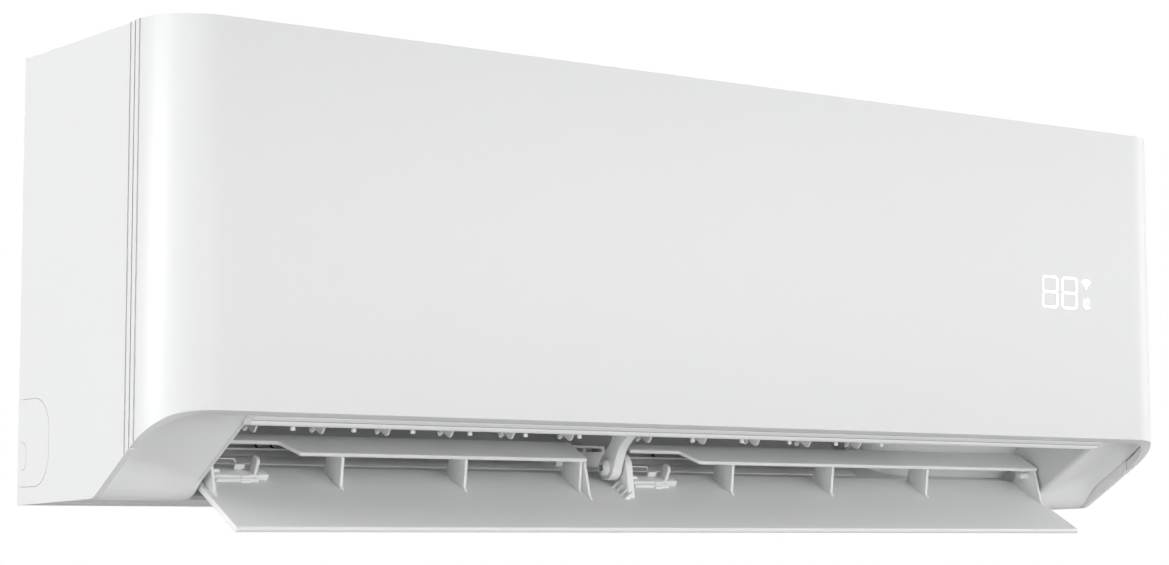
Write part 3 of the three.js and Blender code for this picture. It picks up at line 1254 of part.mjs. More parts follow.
function electricalCover() {
  const y = BOX_FRONT - SEAT;
  const lid = prism("y", rectangle(BOX_X0 - 1, BOX_LOW - 1, BOX_X1 + 1, BOX_HIGH + 1, 4), y - 2, y);
  const lip = box(
    [BOX_X0 + BOX_WALL + SEAT, y - 1, BOX_HIGH - BOX_WALL - SEAT - 2],
    [BOX_X1 - BOX_WALL - SEAT, y + 5, BOX_HIGH - BOX_WALL - SEAT],
  );
  const ribsUp = [0, 1, 2].map((i) =>
    box([BOX_X0 + 20, y - 3.4, BOX_LOW + 50 + i * 40], [BOX_X1 - 20, y - 1, BOX_LOW + 52 + i * 40]));
  return join(lid, lip, ...ribsUp);
}

function displayModule() {
  const face = -CASE_D + FRAME_FRONT - SEAT;
  const flange = prism(
    "y", rectangle(DISPLAY_X0 - 3, DISPLAY_LOW - 3, DISPLAY_X1 + 3, DISPLAY_HIGH + 3, 4), face - 2,
    face,
  );
  const body = box([DISPLAY_X0 + 2, face - 1, DISPLAY_LOW], [DISPLAY_X1 - 2, face + 8, DISPLAY_HIGH]);
  const recess = box(
    [DISPLAY_X0 + 6, face - 3, DISPLAY_LOW + 4], [DISPLAY_X1 - 6, face - 0.8, DISPLAY_HIGH - 4],
  );
  return cut(join(flange, body), recess);
}

function manualButton() {
  const face = -CASE_D + FRAME_FRONT;
  const profile = [[face - 2.2, 0], [face - 2.2, BUTTON_R - 0.8], [face - 1.4, BUTTON_R], [
    face + FRAME_WALL + SEAT, BUTTON_R,
  ],
    [
      face + FRAME_WALL + SEAT, BUTTON_R + 2.4,
    ], [face + FRAME_WALL + 1.8, BUTTON_R + 2.4], [face + FRAME_WALL + 1.8, 0]];
  const made = new THREE.LatheGeometry(profile.map(([y, radius]) => new THREE.Vector2(radius, y)), 12);
  return made.translate(BUTTON_X, 0, BUTTON_Z);
}

const gasStart = coilPoint(COILS[2], -1.5);
const liquidStart = coilPoint(COILS[2], 1.5);

const gasRoute = () => rounded([
  [[PIPE_START_X, ...gasStart], 0], [[PIPE_GAS_X, ...gasStart], 14],
  [[PIPE_GAS_X, PIPE_GAS_Y, gasStart[1] - 26], 14],
  [[PIPE_GAS_X, PIPE_GAS_Y, PIPE_GAS_Z], 18], [[PIPE_END_X, PIPE_GAS_Y, PIPE_GAS_Z], 0],
], false, 4);

const liquidRoute = () => rounded([
  [[PIPE_START_X, ...liquidStart], 0], [[PIPE_LIQUID_X, ...liquidStart], 12],
  [[PIPE_LIQUID_X, PIPE_LIQUID_Y, liquidStart[1] - 36], 12],
  [[PIPE_LIQUID_X, PIPE_LIQUID_Y, PIPE_LIQUID_Z], 12], [[PIPE_END_X, PIPE_LIQUID_Y, PIPE_LIQUID_Z], 0],
], false, 4);

/** A flare nut on a pipe's end: hexagon and round collar. */
function flareNut([y, z], radius, across) {
  const hexagon = prism("x", circle([y, z], across / Math.sqrt(3), 6), PIPE_END_X - 4, PIPE_END_X + 12);
  const collar = rod("x", [y, z], across / 2 - 1, PIPE_END_X + 11, PIPE_END_X + 18, 12);
  return cut(join(hexagon, collar), rod("x", [y, z], radius + SEAT, PIPE_END_X - 5, PIPE_END_X + 19, 12));
}

function drainSpigot() {
  const x1 = -MOUTH_HALF_W + PLATE;
  const barb = [[x1 - 32, SPIGOT_R - 0.6], [x1 - 27, SPIGOT_R], [x1 - 26.6, SPIGOT_R - 0.6]];
  const profile = [
    [x1, SPIGOT_BORE_R], [x1 - 33, SPIGOT_BORE_R], ...barb, [x1, SPIGOT_R], [x1, SPIGOT_BORE_R],
  ];
  return turned(profile, SPIGOT, 12);
}

// ---- Assembly -------------------------------------------------------------

const finish = (color, roughness, metalness = 0) =>
  new THREE.MeshStandardMaterial({ color, roughness, metalness });
const SHELL = finish(0xe8e9e9, 0.45); // smooth white case
const TRIM = finish(0xdcdddd, 0.55); // mouth, wings and louver
const DUCT = finish(0x8d9092, 0.6); // grey inner mouldings
const DARK = finish(0x2a2c2e, 0.6); // fan, bushes and terminal parts
const STEEL = finish(0xb4b8ba, 0.4, 0.9);
const ALUMINIUM = finish(0xc8ccce, 0.45, 0.8);
const COPPER = finish(0xb3673e, 0.35, 1);
const BRASS = finish(0xc2a15a, 0.35, 1);
const BOARD = finish(0x2f6b4a, 0.6);

const unitGroup = new THREE.Group();
const caseGroup = new THREE.Group();
caseGroup.position.set(0, 0, -CASE_H / 2);
unitGroup.add(caseGroup);

const add = (name, shape, material) => caseGroup.add(piece(name, shape, material));

add("wall_plate", wallPlate(), STEEL);
add("chassis", chassis(), DUCT);
add("casing", casing(), SHELL);
add("front_frame", frontFrame(), TRIM);
add("front_panel", frontPanel(), SHELL);
for (const side of sides) {
  add(`wing_${sideName(side)}`, wing(side), TRIM);
  add(`pipe_cover_${sideName(side)}`, pipeCover(side, side < 0), SHELL);
  add(`coil_plate_${sideName(side)}`, coilPlate(side), STEEL);
  add(`filter_${sideName(side)}`, filter(side), DUCT);
}
add("pipe_cover_plug", pipePlug(), SHELL);
add("drain_pan", drainPan(), DUCT);
add("duct_end_cover", ductEndCover(), TRIM);
for (const coil of COILS) add(coil.name, coilBlock(coil), ALUMINIUM);
add("fan_rotor", fanRotor(), DARK);
add("fan_bearing", fanBearing(), DARK);
add("fan_motor", fanMotor(), STEEL);
add("motor_clamp", motorClamp(), DUCT);
add("electrical_box", electricalBox(), TRIM);
add("electrical_cover", electricalCover(), TRIM);
add("control_board", controlBoard(), BOARD);
add("terminal_block", terminalBlock(), DARK);
add("display_module", displayModule(), DARK);
add("manual_button", manualButton(), TRIM);
add("louver_panel", louverPanel(), TRIM);
add("louver_blade_left", louverBlade("left"), TRIM);
add("louver_blade_right", louverBlade("right"), TRIM);
add("louver_arm", louverArm(), TRIM);
add("snap_pin", snapPin(), TRIM);
add("pivot_pin_right", pivotPin(), TRIM);
add("louver_motor", louverMotor(), STEEL);
add("louver_shaft", louverShaft(), STEEL);
add("latch_left", latch("left"), TRIM);
add("latch_centre", latch("centre"), TRIM);
for (const [group, start, count] of [
  ["left", VANE_LEFT_X, VANES_LEFT], ["right", VANE_RIGHT_X, VANES_RIGHT],
]) {
  for (let i = 0; i < count; i += 1) {
    add(`vane_${group}_${i + 1}`, vane([start + i * VANE_PITCH, i === 0]), TRIM);
  }
  add(`tie_bar_${group}`, tieBar(start, count), TRIM);
  add(`vane_motor_${group}`, vaneMotor(start), STEEL);
}
add("pipe_gas", bar(gasRoute(), PIPE_GAS_R, 8), COPPER);
add("pipe_liquid", bar(liquidRoute(), PIPE_LIQUID_R, 6), COPPER);
add("flare_nut_gas", flareNut([PIPE_GAS_Y, PIPE_GAS_Z], PIPE_GAS_R, 24), BRASS);
add("flare_nut_liquid", flareNut([PIPE_LIQUID_Y, PIPE_LIQUID_Z], PIPE_LIQUID_R, 16), BRASS);
add("drain_spigot", drainSpigot(), DARK);

export default unitGroup;
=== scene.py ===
"""Looks for the indoor unit of a mini split air conditioner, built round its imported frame.

Sizes are in millimetres in the frame that the case was drawn in: X to the right, -Y into the
room, and Z up from the bottom of the case. `place` turns them into the part's metres.
"""

import json
import logging
import math
from dataclasses import dataclass, field
from enum import Enum
from typing import Callable, Iterable, Sequence

import bmesh
import bpy
from mathutils import Matrix, Vector


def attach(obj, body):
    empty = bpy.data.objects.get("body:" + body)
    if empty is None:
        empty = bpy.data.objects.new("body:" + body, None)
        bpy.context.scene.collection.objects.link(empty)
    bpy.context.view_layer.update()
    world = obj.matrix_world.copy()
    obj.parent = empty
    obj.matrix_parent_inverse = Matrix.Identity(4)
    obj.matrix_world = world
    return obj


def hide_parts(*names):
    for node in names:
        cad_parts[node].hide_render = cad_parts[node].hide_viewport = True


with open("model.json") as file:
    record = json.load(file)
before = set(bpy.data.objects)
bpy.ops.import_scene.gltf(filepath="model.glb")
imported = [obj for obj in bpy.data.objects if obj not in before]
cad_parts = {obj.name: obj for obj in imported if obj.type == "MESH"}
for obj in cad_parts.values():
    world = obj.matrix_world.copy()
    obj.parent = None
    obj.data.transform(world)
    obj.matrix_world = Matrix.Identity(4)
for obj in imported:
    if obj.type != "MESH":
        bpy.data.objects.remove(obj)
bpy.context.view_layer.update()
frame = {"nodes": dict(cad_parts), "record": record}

LOG = logging.getLogger("indoor_unit")
MM = 0.001
CASE_MIDDLE = 160.0

Pair = tuple[float, float]
Shift = Callable[[Vector], Vector]


# ---- Mesh tools -------------------------------------------------------------


def place(point: Sequence[float]) -> Vector:
    """Turn a point of the case's drawing into the part's frame.

    Args:
        point: X, Y and Z in millimetres, with Z from the bottom of the case.

    Returns:
        The point in metres, with Z from the middle of the case.
    """
    return Vector((point[0] * MM, point[1] * MM, (point[2] - CASE_MIDDLE) * MM))


def arc(centre: Pair, radius: float, start: float, end: float, steps: int) -> list[Pair]:
    """Return the points of an arc, its angles in degrees."""
    angles = [math.radians(start + (end - start) * i / steps) for i in range(steps + 1)]
    return [(centre[0] + radius * math.cos(a), centre[1] + radius * math.sin(a)) for a in angles]


def rounded(corners: Sequence[tuple[Pair, float]], closed: bool = True, steps: int = 8) -> list[Pair]:
    """Round the corners of a path.

    Args:
        corners: each corner with the radius of its fillet.
        closed: whether the last corner joins the first.
        steps: points along each fillet.

    Returns:
        The points of the rounded path.
    """
    count = len(corners)
    path: list[Pair] = []
    for i, (point, radius) in enumerate(corners):
        if not radius or (not closed and i in (0, count - 1)):
            path.append(point)
            continue
        here = Vector(point)
        back = (Vector(corners[i - 1][0]) - here).normalized()
        ahead = (Vector(corners[(i + 1) % count][0]) - here).normalized()
        half = back.angle(ahead) / 2
        centre = here + (back + ahead).normalized() * (radius / math.sin(half))
        outward = (here + back * (radius / math.tan(half)) - centre).normalized()
        for k in range(steps + 1):
            angle = (math.pi - 2 * half) * k / steps
            spot = centre + outward * (radius * math.cos(angle)) - back * (radius * math.sin(angle))
            path.append((spot.x, spot.y))
    return path


def soften(bm: bmesh.types.BMesh, width: float, segments: int = 2, angle: float = 30.0) -> None:
    """Bevel every edge sharper than an angle.

    Args:
        bm: the mesh, in millimetres.
        width: width of the bevel.
        segments: facets across it.
        angle: the least turn, in degrees, that counts as an edge.
    """
    limit = math.radians(angle)
    edges = [e for e in bm.edges if e.is_manifold and e.calc_face_angle() > limit]
    bmesh.ops.bevel(bm, geom=edges, offset=width, offset_type="OFFSET", affect="EDGES", segments=segments,
                    profile=0.5, material=-1, clamp_overlap=True)


def prism(axis: str, outline: Sequence[Pair], start: float, end: float, bevel: float = 0.0,
          segments: int = 2) -> bmesh.types.BMesh:
    """Extrude an outline along an axis.

    Args:
        axis: "x", "y" or "z"; the outline is in the other two, in their order.
        outline: points of a closed outline.
        start: where the prism starts on the axis.
        end: where it ends.
        bevel: width of the bevel on its edges.
        segments: facets across the bevel.

    Returns:
        A closed mesh in millimetres.
    """
    order = {"x": (2, 0, 1), "y": (0, 2, 1), "z": (0, 1, 2)}[axis]
    bm = bmesh.new()
    ring = [bm.verts.new([(u, v, start)[k] for k in order]) for u, v in outline]
    face = bm.faces.new(ring)
    grown = bmesh.ops.extrude_face_region(bm, geom=[face])
    moved = [g for g in grown["geom"] if isinstance(g, bmesh.types.BMVert)]
    step = Vector([(0.0, 0.0, end - start)[k] for k in order])
    bmesh.ops.translate(bm, verts=moved, vec=step)
    bmesh.ops.recalc_face_normals(bm, faces=bm.faces)
    if bevel:
        soften(bm, bevel, segments)
    return bm


def block(low: Sequence[float], high: Sequence[float], bevel: float = 0.25) -> bmesh.types.BMesh:
    """Return a bevelled block between two corners."""
    bm = bmesh.new()
    bmesh.ops.create_cube(bm, size=1.0)
    size = [abs(b - a) for a, b in zip(low, high)]
    bmesh.ops.scale(bm, vec=size, verts=bm.verts)
    bmesh.ops.translate(bm, vec=[(a + b) / 2 for a, b in zip(low, high)], verts=bm.verts)
    if bevel:
        soften(bm, min(bevel, min(size) / 3))
    return bm


@dataclass(frozen=True)
class Chunk:
    """A bevelled block, given by its ranges along X, Y and Z."""

    x: Pair
    y: Pair
    z: Pair
    bevel: float = 0.25

    def at(self, dx: float = 0.0, dz: float = 0.0) -> bmesh.types.BMesh:
        """Return the block, moved along X and Z."""
        low, high = zip(self.x, self.y, self.z)
        return block((low[0] + dx, low[1], low[2] + dz), (high[0] + dx, high[1], high[2] + dz), self.bevel)


def turned(profile: Sequence[Pair], centre: Pair, steps: int = 48) -> bmesh.types.BMesh:
    """Spin a profile round an axis along X.

    Args:
        profile: (x, radius) from end to end, both ends on the axis, or a closed ring off it.
        centre: the axis in (Y, Z).
        steps: facets round it.

    Returns:
        A closed mesh in millimetres.
    """
    bm = bmesh.new()
    verts = [bm.verts.new((x, centre[0], centre[1] + radius)) for x, radius in profile]
    edges = [bm.edges.new(pair) for pair in zip(verts, verts[1:])]
    bmesh.ops.spin(bm, geom=verts + edges, cent=(0, *centre), axis=(1, 0, 0), angle=2 * math.pi,
                   steps=steps, use_merge=True)
    bmesh.ops.remove_doubles(bm, verts=bm.verts, dist=1e-4)
    bmesh.ops.recalc_face_normals(bm, faces=bm.faces)
    return bm


def loft(rings: Sequence[Sequence[Sequence[float]]]) -> bmesh.types.BMesh:
    """Carry a closed ring of points through a row of stations, and cap its ends.

    Args:
        rings: the ring's points at each station, in the same order at all of them.

    Returns:
        A closed mesh in millimetres.
    """
    bm = bmesh.new()
    verts = [bm.verts.new(point) for point in rings[0]]
    edges = [bm.edges.new((a, b)) for a, b in zip(verts, verts[1:] + verts[:1])]
    bm.faces.new(verts)
    for ring in rings[1:]:
        grown = bmesh.ops.extrude_edge_only(bm, edges=edges)["geom"]
        fresh = {g for g in grown if isinstance(g, bmesh.types.BMVert)}
        verts = [next(e.other_vert(v) for e in v.link_edges if e.other_vert(v) in fresh) for v in verts]
        edges = [bm.edges.get((a, b)) for a, b in zip(verts, verts[1:] + verts[:1])]
        for vert, point in zip(verts, ring):
            vert.co = point
    bm.faces.new(verts)
    bmesh.ops.recalc_face_normals(bm, faces=bm.faces)
    return bm


def merged(parts: Iterable[bmesh.types.BMesh]) -> bmesh.types.BMesh:
    """Gather meshes into one, and free the parts."""
    whole = bmesh.new()
    for part in parts:
        carrier = bpy.data.meshes.new("carrier")
        part.to_mesh(carrier)
        whole.from_mesh(carrier)
        bpy.data.meshes.remove(carrier)
        part.free()
    return whole


def move(bm: bmesh.types.BMesh, shift: Shift) -> bmesh.types.BMesh:
    """Send each vertex of a mesh through a function."""
    for vert in bm.verts:
        vert.co = shift(vert.co)
    return bm


def piece(name: str, bm: bmesh.types.BMesh, material: bpy.types.Material, body: str,
          stands_for: Sequence[str] = (), smooth: float = 35.0) -> bpy.types.Object:
    """Make a finished piece from a mesh in millimetres.

    Args:
        name: the piece's name.
        bm: its mesh, which is freed.
        material: its finish.
        body: the body it rides on.
        stands_for: CAD nodes that it replaces.
        smooth: faces that meet at less than this angle, in degrees, shade as one.

    Returns:
        The object.
    """
    for vert in bm.verts:
        vert.co = place(vert.co)
    limit = math.radians(smooth)
    for face in bm.faces:
        face.smooth = True
    for edge in bm.edges:
        edge.smooth = edge.is_manifold and edge.calc_face_angle() < limit
    mesh = bpy.data.meshes.new(name)
    bm.to_mesh(mesh)
    bm.free()
    made = bpy.data.objects.new(name, mesh)
    bpy.context.scene.collection.objects.link(made)
    mesh.materials.append(material)
    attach(made, body)
    if stands_for:
        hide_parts(*stands_for)
    LOG.info("%s: %d faces", name, len(mesh.polygons))
    return made


# ---- Finishes ---------------------------------------------------------------


class Pattern(Enum):
    """What a finish shows beyond its colour."""

    MOULDED = "fine moulded grain"
    FINS = "thin upright fins"
    SPANGLE = "zinc spangle"
    DRAWN = "drawn tube"
    GLOW = "lit from behind"


# Noise scales on Object coordinates: the moulded grain, and the slow drift of its shade.
GRAIN_SCALE = 900.0
DRIFT_SCALE = 6.0


@dataclass(frozen=True)
class Finish:
    """One surface finish and the numbers that make it."""

    name: str
    colour: tuple[float, float, float]
    roughness: float = 0.45
    metallic: float = 0.0
    pattern: Pattern = Pattern.MOULDED
    grain_scale: float = GRAIN_SCALE
    grain_depth: float = 0.04
    mottle: float = 0.015
    coat: float = 0.0
    specular: float = 0.5


def add_node(tree: bpy.types.NodeTree, kind: str, values: dict[str, object] | None = None) -> bpy.types.Node:
    """Add a shader node and set some of its inputs.

    Args:
        tree: where it goes.
        kind: its type, without the ShaderNode in front.
        values: input names with their values.

    Returns:
        The node.
    """
    made = tree.nodes.new(f"ShaderNode{kind}")
    for label, value in (values or {}).items():
        made.inputs[label].default_value = value
    return made


class Effects:
    """Node groups that several finishes share."""

    BAND_SCALE = 100.0
    BAND_EDGES = (0.25, 0.75)

    def __init__(self) -> None:
        """Build each group once."""
        self.grain = self._grain()
        self.bands = self._bands()

    @staticmethod
    def _group(name: str, inputs: Sequence[tuple[str, float]]) -> bpy.types.NodeTree:
        """Make an empty group that puts out a Height and a Mask.

        Args:
            name: the group's name.
            inputs: its number inputs with their defaults, after the Vector.

        Returns:
            The group's tree, with its input and output nodes.
        """
        tree = bpy.data.node_groups.new(name, "ShaderNodeTree")
        tree.interface.new_socket("Vector", in_out="INPUT", socket_type="NodeSocketVector")
        for label, value in inputs:
            entry = tree.interface.new_socket(label, in_out="INPUT", socket_type="NodeSocketFloat")
            entry.default_value = value
        for label in ("Height", "Mask"):
            tree.interface.new_socket(label, in_out="OUTPUT", socket_type="NodeSocketFloat")
        tree.nodes.new("NodeGroupInput")
        tree.nodes.new("NodeGroupOutput")
        return tree

    def _grain(self) -> bpy.types.NodeTree:
        """Return the moulded grain: fine noise for height, slow noise for the mask."""
        tree = self._group("moulded_grain", [("Scale", GRAIN_SCALE), ("Drift", DRIFT_SCALE)])
        source, sink = tree.nodes["Group Input"], tree.nodes["Group Output"]
        for label, output, detail in (("Scale", "Height", 3.0), ("Drift", "Mask", 2.0)):
            noise = add_node(tree, "TexNoise", {"Detail": detail})
            tree.links.new(source.outputs["Vector"], noise.inputs["Vector"])
            tree.links.new(source.outputs[label], noise.inputs["Scale"])
            tree.links.new(noise.outputs["Fac"], sink.inputs[output])
        return tree

    def _bands(self) -> bpy.types.NodeTree:
        """Return bands along X: even for fins, wandering for the lines of a drawn tube."""
        tree = self._group("bands", [("Scale", self.BAND_SCALE), ("Wander", 0.0)])
        source, sink = tree.nodes["Group Input"], tree.nodes["Group Output"]
        wave = add_node(tree, "TexWave")
        wave.bands_direction = "X"
        ramp = add_node(tree, "ValToRGB")
        for element, edge in zip(ramp.color_ramp.elements, self.BAND_EDGES):
            element.position = edge
        tree.links.new(source.outputs["Vector"], wave.inputs["Vector"])
        tree.links.new(source.outputs["Scale"], wave.inputs["Scale"])
        tree.links.new(source.outputs["Wander"], wave.inputs["Distortion"])
        tree.links.new(wave.outputs["Fac"], sink.inputs["Height"])
        tree.links.new(wave.outputs["Fac"], ramp.inputs["Fac"])
        tree.links.new(ramp.outputs["Color"], sink.inputs["Mask"])
        return tree


class Workshop:
    """Turns finishes into materials."""

    BUMP_REACH = 0.0002
    SPANGLE_SCALE = 120.0
    GLOW_STRENGTH = 0.55
    SHADE_SPREAD = 2.0
    ROUGHNESS_SPREAD = 0.04
    # Scale of the bands, and how far they wander.
    BANDS = {Pattern.FINS: (220.0, 0.0), Pattern.DRAWN: (60.0, 3.0)}

    def __init__(self) -> None:
        """Build the shared effects, and start with no material."""
        self.effects = Effects()
        self.made: dict[str, bpy.types.Material] = {}

    def make(self, finish: Finish) -> bpy.types.Material:
        """Return a finish's material, which is built once."""
        if finish.name not in self.made:
            self.made[finish.name] = self._build(finish)
        return self.made[finish.name]

    def _build(self, finish: Finish) -> bpy.types.Material:
        """Build a finish's material.

        Args:
            finish: the finish.

        Returns:
            The material, on Object coordinates.
        """
        material = bpy.data.materials.new(finish.name)
        material.use_nodes = True
        tree = material.node_tree
        shader = tree.nodes["Principled BSDF"]
        shader.inputs["Metallic"].default_value = finish.metallic
        shader.inputs["Specular IOR Level"].default_value = finish.specular
        shader.inputs["Coat Weight"].default_value = finish.coat
        where = add_node(tree, "TexCoord").outputs["Object"]
        grain = self._effect(tree, self.effects.grain, where, Scale=finish.grain_scale,
                             Drift=DRIFT_SCALE)
        height = grain.outputs["Height"]
        mask = grain.outputs["Mask"]
        if finish.pattern is Pattern.SPANGLE:
            cells = add_node(tree, "TexVoronoi", {"Scale": self.SPANGLE_SCALE})
            tree.links.new(where, cells.inputs["Vector"])
            mask = cells.outputs["Color"]
        if finish.pattern in self.BANDS:
            scale, wander = self.BANDS[finish.pattern]
            bands = self._effect(tree, self.effects.bands, where, Scale=scale, Wander=wander)
            height = bands.outputs["Height"]
            mask = bands.outputs["Mask"]
        self._colour(tree, shader, finish, mask)
        self._relief(tree, shader, finish, height)
        if finish.pattern is Pattern.GLOW:
            shader.inputs["Emission Color"].default_value = (*finish.colour, 1.0)
            shader.inputs["Emission Strength"].default_value = self.GLOW_STRENGTH
        return material

    @staticmethod
    def _effect(tree: bpy.types.NodeTree, group: bpy.types.NodeTree, where: bpy.types.NodeSocket,
                **values: float) -> bpy.types.Node:
        """Place a shared effect in a material, with its own values."""
        node = tree.nodes.new("ShaderNodeGroup")
        node.node_tree = group
        tree.links.new(where, node.inputs["Vector"])
        for label, value in values.items():
            node.inputs[label].default_value = value
        return node

    def _colour(self, tree: bpy.types.NodeTree, shader: bpy.types.Node, finish: Finish,
                mask: bpy.types.NodeSocket) -> None:
        """Mix a darker and a lighter shade of the colour by a mask, and spread the roughness by it.

        Args:
            tree: the material's nodes.
            shader: the node that takes the colour and the roughness.
            finish: the finish.
            mask: 0 for the darker and smoother, 1 for the lighter and rougher.
        """
        mix = tree.nodes.new("ShaderNodeMix")
        mix.data_type = "RGBA"
        spread_by = self.SHADE_SPREAD * finish.mottle
        low = [c * (1 - spread_by) for c in finish.colour]
        high = [min(c * (1 + spread_by), 1.0) for c in finish.colour]
        mix.inputs["A"].default_value = (*low, 1.0)
        mix.inputs["B"].default_value = (*high, 1.0)
        tree.links.new(mask, mix.inputs["Factor"])
        tree.links.new(mix.outputs["Result"], shader.inputs["Base Color"])
        spread = add_node(tree, "MapRange", {"To Min": finish.roughness - self.ROUGHNESS_SPREAD,
                                             "To Max": finish.roughness + self.ROUGHNESS_SPREAD})
        tree.links.new(mask, spread.inputs["Value"])
        tree.links.new(spread.outputs["Result"], shader.inputs["Roughness"])

    def _relief(self, tree: bpy.types.NodeTree, shader: bpy.types.Node, finish: Finish,
                height: bpy.types.NodeSocket) -> None:
        """Feed the height to a Bump node in front of the shader's normal."""
        bump = add_node(tree, "Bump", {"Strength": finish.grain_depth, "Distance": self.BUMP_REACH})
        tree.links.new(height, bump.inputs["Height"])
        tree.links.new(bump.outputs["Normal"], shader.inputs["Normal"])


SHELL = Finish("shell_white", (0.79, 0.795, 0.795), roughness=0.42, grain_depth=0.05, mottle=0.004)
TRIM = Finish("trim_white", (0.82, 0.825, 0.825), roughness=0.5, grain_depth=0.08, mottle=0.006)
DUCT = Finish("duct_grey", (0.70, 0.705, 0.71), roughness=0.6, grain_depth=0.1, mottle=0.02)
DARK = Finish("black_plastic", (0.03, 0.03, 0.032), roughness=0.5, grain_depth=0.1, mottle=0.05)
STEEL = Finish("zinc_steel", (0.55, 0.56, 0.57), roughness=0.38, metallic=1.0, pattern=Pattern.SPANGLE,
               grain_depth=0.03, mottle=0.06)
FINS = Finish("coil_fins", (0.60, 0.62, 0.63), roughness=0.4, metallic=1.0, pattern=Pattern.FINS,
              grain_depth=0.8, mottle=0.3)
COPPER = Finish("copper_tube", (0.72, 0.36, 0.22), roughness=0.34, metallic=1.0, pattern=Pattern.DRAWN,
                grain_depth=0.05, mottle=0.08)
BRASS = Finish("machined_brass", (0.78, 0.60, 0.28), roughness=0.3, metallic=1.0, pattern=Pattern.DRAWN,
               grain_depth=0.05, mottle=0.05)
BOARD = Finish("coated_board", (0.03, 0.16, 0.07), roughness=0.35, mottle=0.15, coat=0.4)
# Mid grey that paints the shade in the lip strip's seam and groove; it is no real seal.
SEAM_SHADE = Finish("painted_seam_shade", (0.44, 0.445, 0.45), roughness=0.6, mottle=0.1)
SILL = Finish("sill_grey", (0.77, 0.775, 0.78), roughness=0.5, mottle=0.06)
GLOW = Finish("display_glow", (1.0, 1.0, 1.0), roughness=0.4, pattern=Pattern.GLOW, mottle=0.0)


# ---- Forms shared by the case's pieces --------------------------------------


@dataclass(frozen=True)
class CaseForm:
    """The case's outer form: its plan and its underside."""

    behind: float = 3.0
    least_bend: float = 0.5
    bend_steps: int = 14
    width: float = 960.0
    height: float = 320.0
    depth: float = 219.0
    corner: float = 42.0
    bottom_angle: float = 1.5
    incline: float = 31.5
    incline_start: float = -120.0
    front_edge: float = 60.0
    bottom_bend: float = 20.0
    front_bend: float = 44.0
    seam: float = -172.0
    seam_gap: float = 1.2
    groove_pitch: float = 6.5
    groove_width: float = 2.0
    groove_depth: float = 1.2
    rim_side: float = 4.7
    rim_front: float = 9.5
    rim_height: float = 8.0

    def underside(self, offset: float) -> list[Pair]:
        """Return the underside in (Y, Z), from the wall to the front, moved inwards by an offset."""
        rise = math.tan(math.radians(self.bottom_angle))
        slope = math.tan(math.radians(self.incline))
        lift = offset / math.cos(math.radians(self.bottom_angle))
        incline_lift = -self.incline_start * rise + offset / math.cos(math.radians(self.incline))
        bend = -(incline_lift + slope * self.incline_start - lift) / (rise - slope)
        front = self.front_edge + offset
        edge = self.incline_start - (front - incline_lift) / slope
        return rounded([
            ((self.behind, lift - self.behind * rise), 0.0),
            ((bend, lift - bend * rise), max(self.bottom_bend - offset, self.least_bend)),
            ((edge, front), self.front_bend + offset),
            ((edge - self.depth, front), 0.0),
        ], False, self.bend_steps)

    def floor_at(self, y: float, offset: float = 0.0) -> float:
        """Return the underside's Z at a Y.

        Args:
            y: the place, from the wall to the front.
            offset: how far inside the underside.

        Returns:
            Z in millimetres from the bottom of the case.
        """
        line = self.underside(offset)
        for (y0, z0), (y1, z1) in zip(line, line[1:]):
            if y1 <= y <= y0:
                return z0 + (z1 - z0) * (y - y0) / (y1 - y0)
        return line[-1][1]

    def corner_at(self, side: int, turn: float, side_inset: float, front_inset: float) -> Pair:
        """Return a point of a plan drawn in by two insets, round one of its front corners.

        Args:
            side: -1 for the left corner, 1 for the right.
            turn: 0 degrees on the side wall to 90 on the front.
            side_inset: how far inside the side wall.
            front_inset: how far inside the front face.

        Returns:
            (X, Y) of the point.
        """
        radius = self.corner - min(side_inset, front_inset)
        angle = math.radians(turn)
        x = self.width / 2 - side_inset - radius * (1 - math.cos(angle))
        y = -self.depth + front_inset + radius * (1 - math.sin(angle))
        return side * x, y


CASE = CaseForm()


# ---- Front panel ------------------------------------------------------------


